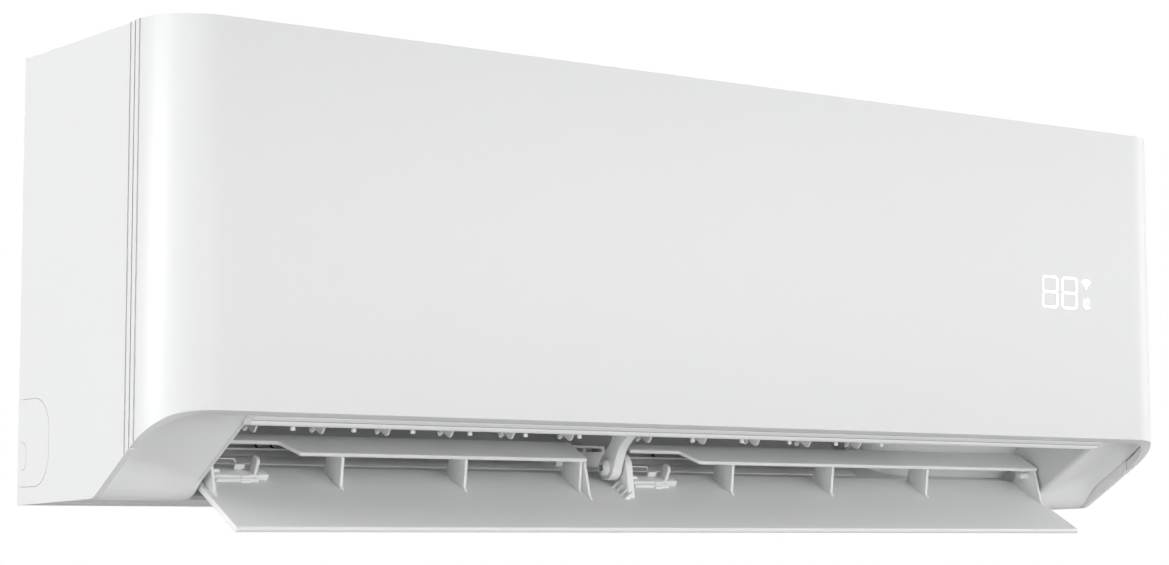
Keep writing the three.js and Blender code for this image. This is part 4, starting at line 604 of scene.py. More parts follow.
@dataclass
class FrontPanel:
    """The wrap-around front panel, with the ribs, hooks and hinge arms behind it."""

    workshop: Workshop
    wall: float = 3.0
    top_gap: float = 0.5
    turns: int = 20
    edge: float = 0.55
    stiffeners: tuple[float, ...] = (-360.0, -180.0, 0.0, 180.0)
    catches: tuple[float, ...] = (-250.0, 250.0)
    catch_width: float = 16.0
    catch_low: float = 95.0
    catch_high: float = 103.0
    frame_front: float = 7.0
    frame_wall: float = 2.5
    hinge: tuple[float, float, float] = (447.5, -206.0, 316.0)
    hinge_pin: float = 2.0
    arm: float = 3.0
    weld: float = 1.0
    lip_turn: float = 0.01
    rib_thick: float = 2.0
    rib_stand: float = 1.6
    rib_foot: float = 62.0
    rib_head: float = 20.0
    catch_thick: float = 2.0
    catch_tip: float = 3.5
    arm_drop: float = 4.2
    arm_rise: float = 3.0
    arm_round: float = 3.6
    arm_sweep: float = 60.0
    pin_reach: float = 5.0
    pin_ease: float = 0.5

    def ring(self, side: int, turn: float, end: float | None = None, sunk: float = 0.0) -> list[Vector]:
        """Return the panel's upright section at one place of its plan.

        Args:
            side: -1 for the left half, 1 for the right.
            turn: degrees round the corner, 0 at the side.
            end: Y of the section, for one on the straight side behind the corner.
            sunk: depth of a groove in the outer face.

        Returns:
            The six corners of the section.
        """
        top = CASE.height - self.top_gap
        insets = [(0.0, 0.0), (self.wall, self.wall), (CASE.rim_side, CASE.rim_front)]
        plan = [CASE.corner_at(side, turn, *inset) for inset in insets]
        if end is not None:
            plan = [(x, end) for x, _ in plan]
        (ox, oy), (wx, wy), (rx, ry) = plan
        if sunk:
            centre = (side * (CASE.width / 2 - CASE.corner), -CASE.depth + CASE.corner)
            keep = (CASE.corner - sunk) / CASE.corner
            ox, oy = (centre[0] + (ox - centre[0]) * keep, centre[1] + (oy - centre[1]) * keep)
        limit = CASE.seam - CASE.seam_gap / 2
        wy, ry = min(wy, limit), min(ry, limit)
        shelf = CASE.rim_height
        return [
            Vector((ox, oy, CASE.floor_at(oy))), Vector((ox, oy, top)), Vector((wx, wy, top)),
            Vector((wx, wy, CASE.floor_at(wy) + shelf)), Vector((rx, ry, CASE.floor_at(ry) + shelf)),
            Vector((rx, ry, CASE.floor_at(ry))),
        ]

    def half(self, side: int) -> list[list[Vector]]:
        """Return the sections of one half, from the seam to the front."""
        reach = CASE.groove_width / 2
        arc_start = -CASE.depth + CASE.corner
        lips = [math.degrees(math.asin((arc_start - y) / CASE.corner))
                for y in (CASE.seam - CASE.groove_pitch + reach, CASE.seam - CASE.groove_pitch - reach)]
        sunk = CASE.groove_depth
        sections = [
            self.ring(side, 0.0, CASE.seam - CASE.seam_gap / 2), self.ring(side, 0.0),
            self.ring(side, lips[0]), self.ring(side, lips[0] + self.lip_turn, sunk=sunk),
            self.ring(side, lips[1] - self.lip_turn, sunk=sunk), self.ring(side, lips[1]),
        ]
        rest = [lips[1] + (90.0 - lips[1]) * i / self.turns for i in range(1, self.turns + 1)]
        return sections + [self.ring(side, turn) for turn in rest]

    def skin(self) -> bmesh.types.BMesh:
        """Return the panel's shell with its rim, its edges rounded."""
        bm = loft(self.half(-1) + self.half(1)[::-1])
        bmesh.ops.remove_doubles(bm, verts=bm.verts, dist=1e-4)
        soften(bm, self.edge, segments=3, angle=40.0)
        return bm

    def hinge_arm(self, side: int) -> list[bmesh.types.BMesh]:
        """Return the hinge arm at one top corner, and its pin."""
        root = -CASE.depth + self.wall - self.weld
        x, y, z = self.hinge
        half = self.arm / 2
        tip = x + half + self.pin_reach
        nose = arc((y, z), self.arm_round, -self.arm_sweep, self.arm_sweep, 10)
        outline = [(root, z - self.arm_drop), (y, z - self.arm_drop), *nose, (root, z + self.arm_rise)]
        pin = [(x, 0.0), (x, self.hinge_pin), (tip - self.pin_ease, self.hinge_pin),
               (tip, self.hinge_pin - self.pin_ease), (tip, 0.0)]
        return [prism("x", outline, side * (x - half), side * (x + half), 0.3),
                turned([(side * along, radius) for along, radius in pin], (y, z), 24)]

    def back(self) -> bmesh.types.BMesh:
        """Return the stiffeners, catches and hinge arms behind the face."""
        inside = -CASE.depth + self.wall
        root = inside - self.weld
        parts = [block((x, root, CASE.rim_height + self.rib_foot),
                       (x + self.rib_thick, inside + self.rib_stand, CASE.height - self.rib_head))
                 for x in self.stiffeners]
        reach = -CASE.depth + self.frame_front + self.frame_wall + self.weld
        for x in self.catches:
            low, high = x - self.catch_width / 2, x + self.catch_width / 2
            corner = (low, root, self.catch_low)
            parts.append(block(corner, (high, reach, self.catch_low + self.catch_thick)))
            parts.append(block(corner, (low + self.catch_thick, reach - self.catch_tip, self.catch_high)))
        for side in (-1, 1):
            parts += self.hinge_arm(side)
        return merged(parts)

    def build(self) -> None:
        """Build and dress the panel."""
        white = self.workshop.make(SHELL)
        piece("panel_skin", self.skin(), white, "front_panel", ["front_panel"])
        piece("panel_back", self.back(), white, "front_panel")


# ---- Wings ------------------------------------------------------------------


@dataclass
class Wing:
    """The dished trim between the mouth and the rim, on one side."""

    workshop: Workshop
    side: int
    recess: float = 3.2
    dish: float = 9.6
    dish_turn: float = 151.0
    inner: float = 406.2
    gap: float = 0.7
    rear: float = -110.0
    rear_round: float = 19.0
    flush_from: float = -136.0
    flush_at: float = -119.0
    proud: float = 0.4
    wall: float = 2.4
    fade: float = 30.0
    across: int = 28
    along: int = 34
    front_gap: float = 0.05
    bunch: float = 1.1
    skew: float = 1.5

    def edge_at(self, y: float) -> float:
        """Return the wing's outer X at a Y, round the corner."""
        side_inset = CASE.rim_side + self.gap
        front_inset = CASE.rim_front + self.gap
        radius = CASE.corner - side_inset
        centre = -CASE.depth + front_inset + radius
        straight = CASE.width / 2 - side_inset
        if y >= centre:
            return straight
        return straight - radius + math.sqrt(max(radius ** 2 - (centre - y) ** 2, 0.0))

    def inner_at(self, y: float) -> float:
        """Return the wing's inner X at a Y, round its rear corner."""
        into = max(y - (self.rear - self.rear_round), 0.0)
        return self.inner + self.rear_round - math.sqrt(max(self.rear_round ** 2 - into ** 2, 0.0))

    def surface(self, u: float, v: float) -> Vector:
        """Return a point of the dish.

        Args:
            u: 0 at the mouth to 1 at the rim.
            v: 0 at the front to 1 at the rear.

        Returns:
            The point in millimetres.
        """
        front = -CASE.depth + CASE.rim_front + self.gap + self.front_gap
        y = front + (self.rear - front) * (1 - math.cos(v * math.pi / 2)) ** self.bunch
        inner = self.inner_at(y)
        x = inner + (self.edge_at(y) - inner) * u
        ends = min((y - front) / self.fade, (self.rear - y) / self.fade, 1.0)
        ease = math.sin(max(ends, 0.0) * math.pi / 2) ** 2
        flush = min(max((y - self.flush_from) / (self.flush_at - self.flush_from), 0.0), 1.0)
        recess = self.recess - (self.recess + self.proud) * flush * flush * (3 - 2 * flush)
        depth = self.dish * ease * math.sin(math.radians(self.dish_turn) * u ** self.skew)
        rise = depth / math.cos(math.radians(CASE.incline))
        return Vector((self.side * x, y, CASE.floor_at(y, recess) + rise))

    def build(self) -> None:
        """Build the dish from a grid, and give it its wall."""
        bm = bmesh.new()
        bmesh.ops.create_grid(bm, x_segments=self.across, y_segments=self.along, size=0.5)
        move(bm, lambda co: self.surface(co.x + 0.5, co.y + 0.5))
        bmesh.ops.recalc_face_normals(bm, faces=bm.faces)
        if sum(face.normal.z for face in bm.faces) > 0:
            bmesh.ops.reverse_faces(bm, faces=bm.faces)
        bmesh.ops.solidify(bm, geom=bm.faces, thickness=self.wall)
        bmesh.ops.recalc_face_normals(bm, faces=bm.faces)
        name = "left" if self.side < 0 else "right"
        white = self.workshop.make(TRIM)
        piece(f"wing_dish_{name}", bm, white, "case", [f"wing_{name}"], smooth=50.0)


# ---- Louver -----------------------------------------------------------------


@dataclass(frozen=True)
class LouverFrame:
    """Where the louver's pivot is, and how it and the duct lean."""

    pivot: Pair = (-124.4, 30.3)
    lean: float = 28.95
    flow: float = 32.0

    def tilted(self, angle: float) -> Shift:
        """Return the shift from a drawing about the pivot into the case."""
        turn = Matrix.Rotation(math.radians(angle), 4, "X")
        shift = Matrix.Translation((0.0, *self.pivot)) @ turn
        return lambda co: shift @ co


PIVOT = LouverFrame()


@dataclass
class Louver:
    """The wide panel with its ribs, cheeks and ear, the two upper blades and the thumb latches."""

    workshop: Workshop
    half_width: float = 404.0
    drop: float = 13.1
    thick: float = 4.5
    front: float = 72.0
    rear: float = 16.8
    blade_rise: float = 10.6
    blade_thick: float = 3.0
    blade_front: float = 6.5
    blade_rear: float = 20.9
    notch_front: float = -10.2
    notch_slope: float = 9.5
    rib_thick: float = 2.4
    rib_foot: float = 15.5
    web_foot: float = 26.0
    rib_rear: float = 11.8
    left_cheek: float = -397.5
    right_cheek: float = 401.0
    web: float = -82.3
    ribs: tuple[float, ...] = (-294.5, -189.5, 63.4, 168.3, 273.9)
    ear_right: float = -38.0
    ear_thick: float = 6.0
    ear_radius: float = 12.0
    latch_starts: tuple[float, float] = (-389.0, -26.0)
    latch_rail: float = 33.0
    latch_axis: Pair = (0.9, -8.6)
    bolt: float = 1.6
    gap: float = 0.3
    weld: float = 1.0
    front_rounds: Pair = (2.2, 2.0)
    rear_round: float = 1.0
    toe: float = 2.0
    toe_hidden: float = 3.0
    toe_rise: float = 1.6
    toe_round: float = 4.0
    rib_head: float = 6.6
    second_web: float = 3.4
    second_foot: float = 1.5
    ear_insets: Pair = (1.0, 2.0)
    tooth_places: tuple[float, ...] = (-26.0, -20.0, -14.0, -8.0)
    tooth_reach: float = 5.5
    tooth_height: float = 6.0
    tooth_thick: float = 1.8
    tooth_root: float = 0.5
    rail_places: Pair = (-6.6, 6.2)
    rail_thick: float = 1.2
    rail_height: float = 2.2
    stay: tuple[Pair, ...] = ((-2.0, -3.2), (17.4, -3.2), (20.0, -6.3), (20.7, -5.8), (18.0, -2.4),
                              (-2.0, -2.4))
    stay_place: Pair = (8.0, 8.9)
    stay_foot: Chunk = Chunk((18.5, 26.0), (-8.0, -6.0), (-1.0, 1.4), 0.3)
    notch_round: float = 3.5
    tip_round: float = 1.2
    blade_round: float = 1.0
    paddle_x: Pair = (29.4, 32.1)
    paddle_y: Pair = (-3.4, 5.2)
    paddle_foot: float = 1.1
    paddle_top: float = 3.2
    paddle_round: float = 3.8
    bolt_root: float = 4.0
    bolt_ease: float = 0.5
    slider: Chunk = Chunk((-1.0, 34.0), (-4.6, 5.6), (0.0, 4.0), 0.5)
    clip_tab: Chunk = Chunk((33.0, 41.0), (-4.8, 5.0), (-0.1, 4.6), 0.7)
    latch_details: tuple[Chunk, ...] = (
        Chunk((16.8, 24.8), (3.0, 5.6), (4.8, 8.2), 0.4),
        Chunk((17.6, 24.0), (3.8, 5.6), (3.4, 5.2), 0.3),
        Chunk((19.5, 26.0), (-5.3, -4.4), (1.2, 3.8), 0.2),
        Chunk((30.0, 33.5), (-5.0, -4.4), (0.6, 3.4), 0.2),
    )

    @property
    def top(self) -> float:
        """Return the height of the panel's upper face about the pivot."""
        return -self.drop

    def plate(self) -> bmesh.types.BMesh:
        """Return the panel's plate, its long edges rounded."""
        low = self.top - self.thick
        below, above = self.front_rounds
        outline = rounded([((-self.front, low), below), ((self.rear, low), self.rear_round),
                           ((self.rear, self.top), self.rear_round), ((-self.front, self.top), above)])
        return prism("x", outline, -self.half_width, self.half_width, bevel=0.5, segments=3)

    def rib(self, x: float, foot: float) -> bmesh.types.BMesh:
        """Return a rib from the panel to the blade, its foot filleted."""
        rib_top = self.blade_rise - self.blade_thick - self.gap
        root = self.top - self.weld
        outline = rounded([
            ((self.rib_rear, root), 0.0),
            ((-foot - self.toe_hidden, root), 0.0),
            ((-foot - self.toe, self.top), 0.0),
            ((-foot + self.toe, self.top + self.toe_rise), self.toe_round),
            ((-self.blade_front + self.gap, rib_top), 0.0),
            ((self.blade_rear - self.rib_head, rib_top), 0.0),
        ], steps=10)
        return prism("x", outline, x, x + self.rib_thick, bevel=0.3)

    def ear(self) -> bmesh.types.BMesh:
        """Return the half-round ear that carries the middle pin."""
        root = self.top - self.weld
        front = (-self.web_foot + self.ear_insets[0], root)
        rear = (self.rib_rear - self.ear_insets[1], root)
        tangents = []
        for point, turn in ((rear, 1), (front, -1)):
            reach = math.acos(self.ear_radius / math.hypot(*point))
            tangents.append(math.degrees(math.atan2(point[1], point[0]) + turn * reach))
        outline = [front, rear, *arc((0, 0), self.ear_radius, tangents[0], tangents[1] + 360, 36)]
        return prism("x", outline, self.ear_right - self.ear_thick, self.ear_right, bevel=0.6, segments=3)

    def teeth(self) -> list[bmesh.types.BMesh]:
        """Return the small teeth on the ear's left face."""
        face = self.ear_right - self.ear_thick
        root, tip = face + self.tooth_root, face - self.tooth_reach
        outline = [(root, self.top - self.weld), (tip, self.top - self.weld), (tip, self.top),
                   (root, self.top + self.tooth_height)]
        return [prism("y", outline, y, y + self.tooth_thick, bevel=0.2) for y in self.tooth_places]

    def rails(self) -> list[bmesh.types.BMesh]:
        """Return the low rails that guide the latches, and the bent stay behind each."""
        made = []
        for x in self.latch_starts:
            for y in self.rail_places:
                far = (x + self.latch_rail, y + self.rail_thick, self.top + self.rail_height)
                made.append(block((x, y, self.top - self.weld), far, 0.3))
            made.append(prism("y", [(x + dx, z) for dx, z in self.stay], *self.stay_place, bevel=0.2))
            made.append(self.stay_foot.at(x, self.top))
        return made

    def blade(self, start: float, end: float, step: float) -> bmesh.types.BMesh:
        """Return an upper blade with its finger notch.

        Args:
            start: X of its left end.
            end: X of its right end.
            step: X where the notch's slope starts.

        Returns:
            The blade about the pivot.
        """
        deep, shallow = -self.notch_front, -self.blade_front
        outline = rounded([
            ((start, self.blade_rear), self.blade_round), ((start, deep), self.blade_round),
            ((step, deep), self.notch_round), ((step + self.notch_slope, shallow), self.notch_round),
            ((end, shallow), self.tip_round), ((end, self.blade_rear), self.blade_round),
        ], steps=6)
        under = self.blade_rise - self.blade_thick
        return prism("z", outline, under, self.blade_rise, bevel=0.6, segments=3)

    def latch(self, start: float, reach: float) -> bmesh.types.BMesh:
        """Return a thumb latch: slider, bolt, paddle, clip tab and small blocks.

        Args:
            start: X where its rails start.
            reach: X of its bolt's end.

        Returns:
            The latch about the pivot.
        """
        base = self.top + self.gap
        front, rear = self.paddle_y
        foot = base + self.paddle_foot
        paddle = rounded([((front, foot), 0.0), ((front, self.paddle_top), self.paddle_round),
                          ((rear, self.paddle_top), self.paddle_round), ((rear, foot), 0.0)], steps=12)
        root = start + self.bolt_root
        bolt = [(reach, 0.0), (reach, self.bolt - self.bolt_ease), (reach + self.bolt_ease, self.bolt),
                (root, self.bolt), (root, 0.0)]
        left, right = self.paddle_x
        return merged([
            self.slider.at(start, base), turned(bolt, self.latch_axis, 24),
            prism("x", paddle, start + left, start + right, bevel=0.7, segments=3),
            self.clip_tab.at(start, base),
            *[detail.at(start, base) for detail in self.latch_details],
        ])

    def build(self) -> None:
        """Build and dress the louver and its latches."""
        white = self.workshop.make(TRIM)
        tilt = PIVOT.tilted(PIVOT.lean)
        frame_parts = [self.plate(), self.ear(), *self.teeth(), *self.rails()]
        frame_parts += [self.rib(x, self.rib_foot) for x in self.ribs]
        tall = (self.right_cheek, self.left_cheek - self.rib_thick, self.web)
        frame_parts += [self.rib(x, self.web_foot) for x in tall]
        frame_parts.append(self.rib(self.web - self.second_web, self.rib_foot + self.second_foot))
        piece("louver_frame", move(merged(frame_parts), tilt), white, "louver", ["louver_panel"])
        blades = (("left", -self.half_width, -79.7, -338.0), ("right", -28.0, self.half_width, 20.5))
        for name, start, end, step in blades:
            piece(f"louver_upper_{name}", move(self.blade(start, end, step), tilt), white, "louver",
                  [f"louver_blade_{name}"])
        reaches = (self.left_cheek - self.rib_thick, self.ear_right - 2.5)
        for name, start, reach in zip(("left", "centre"), self.latch_starts, reaches):
            piece(f"thumb_{name}", move(self.latch(start, reach), tilt), white, f"latch_{name}",
                  [f"latch_{name}"])


@dataclass
class MiddleArm:
    """The fixed arm at the louver's middle, with the split pin through it."""

    workshop: Workshop
    middle: float = -50.5
    thick: float = 9.0
    hub: float = 9.5
    bore: float = 5.2
    top: float = 59.7
    pin: float = 4.7
    head_face: float = -37.7
    slit: float = 1.25
    flange: Pair = (-22.0, 14.0)
    flange_thick: float = 2.5
    flange_side: float = 4.0
    hub_ease: float = 0.6
    hub_proud: float = 0.2
    core: float = 2.6
    barb_height: float = 1.1
    barb_end: float = 4.6
    barb_back: float = 1.6
    barb_gap: float = 0.3
    tip_ease: float = 1.2
    head_rims: Pair = (1.8, 1.2)
    head_thick: float = 1.4
    slit_reach: float = 7.0
    cap_radius: float = 2.8
    cap_place: Pair = (0.4, 1.2)

    def arm(self) -> bmesh.types.BMesh:
        """Return the arm, drawn in the duct's frame."""
        x0, x1 = self.middle - self.thick / 2, self.middle + self.thick / 2
        rear = rounded([((12.0, self.top), 0.0), ((7.6, 33.0), 8.0), ((5.4, 20.0), 10.0), ((8.6, 5.0), 0.0)],
                       closed=False)
        front = rounded([((-8.6, 4.0), 0.0), ((-5.8, 20.0), 24.0), ((-20.0, self.top), 0.0)],
                        closed=False, steps=16)
        flange_front, flange_rear = self.flange
        under = self.top - self.flange_thick
        flange = [(flange_rear, self.top), (flange_rear, under), (flange_front, under),
                  (flange_front, self.top)]
        ease, rim = self.hub_ease, self.hub - self.hub_ease
        ring = [(x0, self.bore), (x0, rim), (x0 + ease, self.hub), (x1 - ease, self.hub), (x1, rim),
                (x1, self.bore), (x0, self.bore)]
        return merged([
            prism("x", rear + front, x0 + self.hub_proud, x1 - self.hub_proud, bevel=0.5, segments=3),
            prism("x", flange, x0 - self.flange_side, x1 + self.flange_side, bevel=0.5),
            turned(ring, (0.0, 0.0)),
        ])

    def split_pin(self) -> bmesh.types.BMesh:
        """Return the pin: two halves either side of its slit, and its head."""
        tip = self.middle - self.thick / 2
        end, catch = tip - self.barb_end, tip - self.barb_gap
        barb = self.bore + self.barb_height
        head_end = self.head_face + self.head_thick
        wide, narrow = self.head_rims
        profile = [(end, self.core), (end, self.pin - self.tip_ease), (tip - self.barb_back, barb),
                   (catch, barb), (catch, self.pin), (self.head_face, self.pin),
                   (self.head_face, self.pin + wide),
                   (head_end, self.pin + narrow), (head_end, self.core), (end, self.core)]
        bm = turned(profile, (0.0, 0.0))
        for vert in bm.verts:
            if abs(vert.co.z) < self.slit and vert.co.x < tip + self.slit_reach:
                vert.co.z = math.copysign(self.slit, vert.co.z or 1.0)
        near, far = (self.head_face + reach for reach in self.cap_place)
        cap_profile = [(near, 0.0), (near, self.cap_radius), (far, self.cap_radius), (far, 0.0)]
        cap = turned(cap_profile, (0.0, 0.0), 32)
        return merged([bm, cap])

    def build(self) -> None:
        """Build and dress the arm and the pin."""
        white = self.workshop.make(TRIM)
        arm = move(self.arm(), PIVOT.tilted(PIVOT.flow))
        pin = move(self.split_pin(), PIVOT.tilted(0.0))
        piece("middle_arm", arm, white, "case", ["louver_arm"])
        piece("middle_pin", pin, white, "louver", ["snap_pin"])


# ---- Vanes ------------------------------------------------------------------


@dataclass
class VaneGroup:
    """One motor's vanes, pivoted plates in the mouth, and the small hooks behind the lip strip."""

    workshop: Workshop
    name: str
    start: float
    count: int
    pitch: float = 54.0
    thick: float = 1.6
    axis: float = 2.5
    front: float = -2.3
    rear: float = 36.0
    low: float = 22.6
    foot: float = 22.9
    top: float = 58.8
    fan: Pair = (84.1, 69.7)
    fan_reach: float = 54.4
    pin: float = 1.5
    link: float = 19.5
    link_pin: float = 1.1
    peg_place: float = 12.0
    hook_start: float = -2.5
    hook_pitch: float = 47.7
    hook: Chunk = Chunk((-1.6, 1.6), (-196.4, -194.6), (48.6, 57.0), 0.5)
    fan_turn: Pair = (207.5, 192.0)
    rear_top: float = 44.5
    link_land: Pair = (5.0, 3.8)
    pivot_rise: float = 4.7
    lead_rise: float = 8.2
    pivot_sink: float = 8.0
    link_span: Pair = (4.6, 4.0)
    peg: float = 1.5
    peg_span: Pair = (5.0, 1.0)
    collar: float = 2.3
    collar_span: Pair = (3.4, 1.8)

    @staticmethod
    def post(centre: Pair, radius: float, low: float, high: float) -> bmesh.types.BMesh:
        """Return a round post across the duct, its ends eased."""
        bm = bmesh.new()
        bmesh.ops.create_cone(bm, cap_ends=True, segments=20, radius1=radius, radius2=radius,
                              depth=high - low)
        bmesh.ops.translate(bm, verts=bm.verts, vec=(*centre, (low + high) / 2))
        soften(bm, min(radius * 0.3, 0.5), 2, 60.0)
        return bm

    def vane(self, x: float, lead: bool) -> bmesh.types.BMesh:
        """Return a vane: plate, pivot, link pin and the peg on its face.

        Args:
            x: its place along the mouth.
            lead: whether the motor turns it.

        Returns:
            The vane in the duct's frame.
        """
        step_front, step_rear = (self.link - reach for reach in self.link_land)
        outline = rounded([((self.front, self.top), 0.0), ((self.front, self.low), 3.5),
                           ((step_front, self.low), 1.5), ((step_rear, self.foot), 0.5),
                           ((self.rear, self.foot), 3.0), ((self.rear, self.rear_top), 0.0)],
                          closed=False, steps=6)
        outline += arc(self.fan, self.fan_reach, *self.fan_turn, 8)
        half = self.thick / 2
        rise = self.lead_rise if lead else self.pivot_rise
        low, foot, peg = self.low, self.foot, (x, self.peg_place)
        return merged([
            prism("x", outline, x - half, x + half, bevel=0.35),
            self.post((x, self.axis), self.pin, self.top - self.pivot_sink, self.top + rise),
            self.post((x, self.link), self.link_pin, foot - self.link_span[0], foot + self.link_span[1]),
            self.post(peg, self.peg, low - self.peg_span[0], low + self.peg_span[1]),
            self.post(peg, self.collar, low - self.collar_span[0], low - self.collar_span[1]),
        ])

    def build(self) -> None:
        """Build each vane on its own body, and the hooks on the case."""
        white = self.workshop.make(TRIM)
        lean = PIVOT.tilted(PIVOT.flow)
        for i in range(self.count):
            name = f"vane_{self.name}_{i + 1}"
            shape = self.vane(self.start + i * self.pitch, i == 0)
            piece(f"{name}_blade", move(shape, lean), white, name, [name])
        first = self.start + self.hook_start
        hooks = [self.hook.at(first + i * self.hook_pitch) for i in range(self.count)]
        piece(f"strip_hooks_{self.name}", merged(hooks), self.workshop.make(SILL), "case")


# ---- Trim of the mouth ------------------------------------------------------


@dataclass
class MouthTrim:
    """The beaded strip along the lip, and the stepped sill and cable hooks at the mouth's rear."""

    workshop: Workshop
    strip_half: float = 405.6
    strip_front: float = -208.4
    strip_rear: float = -198.9
    sill_left: float = -405.0
    sill_right: float = 232.0
    sill_n: float = -19.0
    steps: tuple[tuple[float, float, float], ...] = ((27.6, 38.4, 0.8), (38.0, 48.6, 0.4), (47.8, 48.9, 1.8))
    # Y ranges of the grey strips that paint the shade in the seam and the groove, and below them their rise
    # over the underside.
    shade_strips: tuple[tuple[float, float], ...] = ((-209.4, -208.3), (-204.6, -202.7))
    shade_rise: Pair = (0.25, 1.4)
    strip_root: float = 1.6
    # The strip's flat land and groove: from its front edge, and the rise over the underside.
    land: tuple[Pair, ...] = ((0.0, 0.0), (0.5, -0.35), (3.9, -0.35), (4.5, 0.9), (5.6, 0.9))
    # Its round bead: from its rear edge, and the share of the bead's drop.
    bead: tuple[Pair, ...] = ((-3.7, 0.0), (-3.4, 0.6), (-2.7, 0.95), (-1.8, 1.0), (-0.9, 0.8), (-0.3, 0.35),
                              (0.0, -0.4))
    bead_base: float = 0.2
    bead_drop: float = 1.25
    sill_root: float = 0.6
    bracket: tuple[Chunk, ...] = (
        Chunk((-86.0, -28.0), (-88.0, -74.0), (41.0, 43.6), 0.4),
        Chunk((-86.0, -28.0), (-88.0, -74.0), (46.4, 48.6), 0.4),
        Chunk((-76.0, -33.0), (-89.5, -76.0), (32.0, 41.6), 0.6),
    )
    bar: Chunk = Chunk((-86.0, -83.0), (-88.0, -74.0), (43.0, 47.0), 0.3)
    bars: int = 4
    bar_span: float = 55.0
    # X of each cable hook's far end and near end.
    hooks: tuple[Pair, ...] = ((-327.3, -328.7), (-314.8, -315.9), (35.3, 32.6))
    hook_ends: Pair = (57.5, 48.9)
    hook_bar: float = 1.1
    hook_sink: float = 0.4
    hook_rise: float = 1.3
    hook_eye: Chunk = Chunk((-0.8, 0.8), (48.6, 50.0), (-0.4, 1.8), 0.3)

    @staticmethod
    def on_lip(points: Iterable[Pair]) -> list[Pair]:
        """Turn (Y, rise over the underside) into (Y, Z)."""
        return [(y, CASE.floor_at(y) + rise) for y, rise in points]

    def strip(self) -> bmesh.types.BMesh:
        """Return the strip: a flat land, a groove and a round bead."""
        front, rear = self.strip_front, self.strip_rear
        land = [(front + into, rise) for into, rise in self.land]
        bead = [(rear + into, self.bead_base - self.bead_drop * share) for into, share in self.bead]
        outline = self.on_lip([(front, self.strip_root), *land, *bead, (rear, self.strip_root)])
        return prism("x", outline, -self.strip_half, self.strip_half)

    def painted_shade_lines(self) -> bmesh.types.BMesh:
        """Return grey strips of painted shade in the strip's two grooves."""
        low, high = self.shade_rise
        outlines = [self.on_lip([(front, high), (front, low), (rear, low), (rear, high)])
                    for front, rear in self.shade_strips]
        return merged([prism("x", outline, -self.strip_half, self.strip_half, 0.1) for outline in outlines])

    def sill(self) -> bmesh.types.BMesh:
        """Return the sill's three steps, in the duct's frame."""
        root = self.sill_n - self.sill_root
        return merged([block((self.sill_left, start, root), (self.sill_right, end, self.sill_n + rise), 0.4)
                       for start, end, rise in self.steps])

    def slotted_bracket(self) -> bmesh.types.BMesh:
        """Return the slotted bracket at the mouth's middle, behind the arm."""
        shifts = [self.bar_span * i / (self.bars - 1) for i in range(self.bars)]
        return merged([*[chunk.at() for chunk in self.bracket], *[self.bar.at(shift) for shift in shifts]])

    def cable_hooks(self) -> bmesh.types.BMesh:
        """Return the small dark hooks behind the sill, in the duct's frame."""
        made = []
        half = self.hook_bar / 2
        end, start = self.hook_ends
        for far, near in self.hooks:
            outline = [(far - half, end), (near - half, start), (near + half, start), (far + half, end)]
            made.append(prism("z", outline, self.sill_n - self.hook_sink, self.sill_n + self.hook_rise, 0.3))
            made.append(self.hook_eye.at(near, self.sill_n))
        return merged(made)

    def build(self) -> None:
        """Build and dress the strip, the grey strips of painted shade in its grooves, the sill, the bracket
        and the hooks.
        """
        white, dark = self.workshop.make(TRIM), self.workshop.make(DARK)
        lean = PIVOT.tilted(PIVOT.flow)
        piece("lip_strip", self.strip(), white, "case")
        # Grey strips of painted shade, in the seam at the strip's front and in its groove.
        piece("lip_painted_shade", self.painted_shade_lines(), self.workshop.make(SEAM_SHADE), "case")
        piece("mouth_sill", move(self.sill(), lean), self.workshop.make(SILL), "case")
        piece("middle_bracket", self.slotted_bracket(), white, "case")
        piece("cable_hooks", move(self.cable_hooks(), lean), dark, "case")


# ---- Display ----------------------------------------------------------------


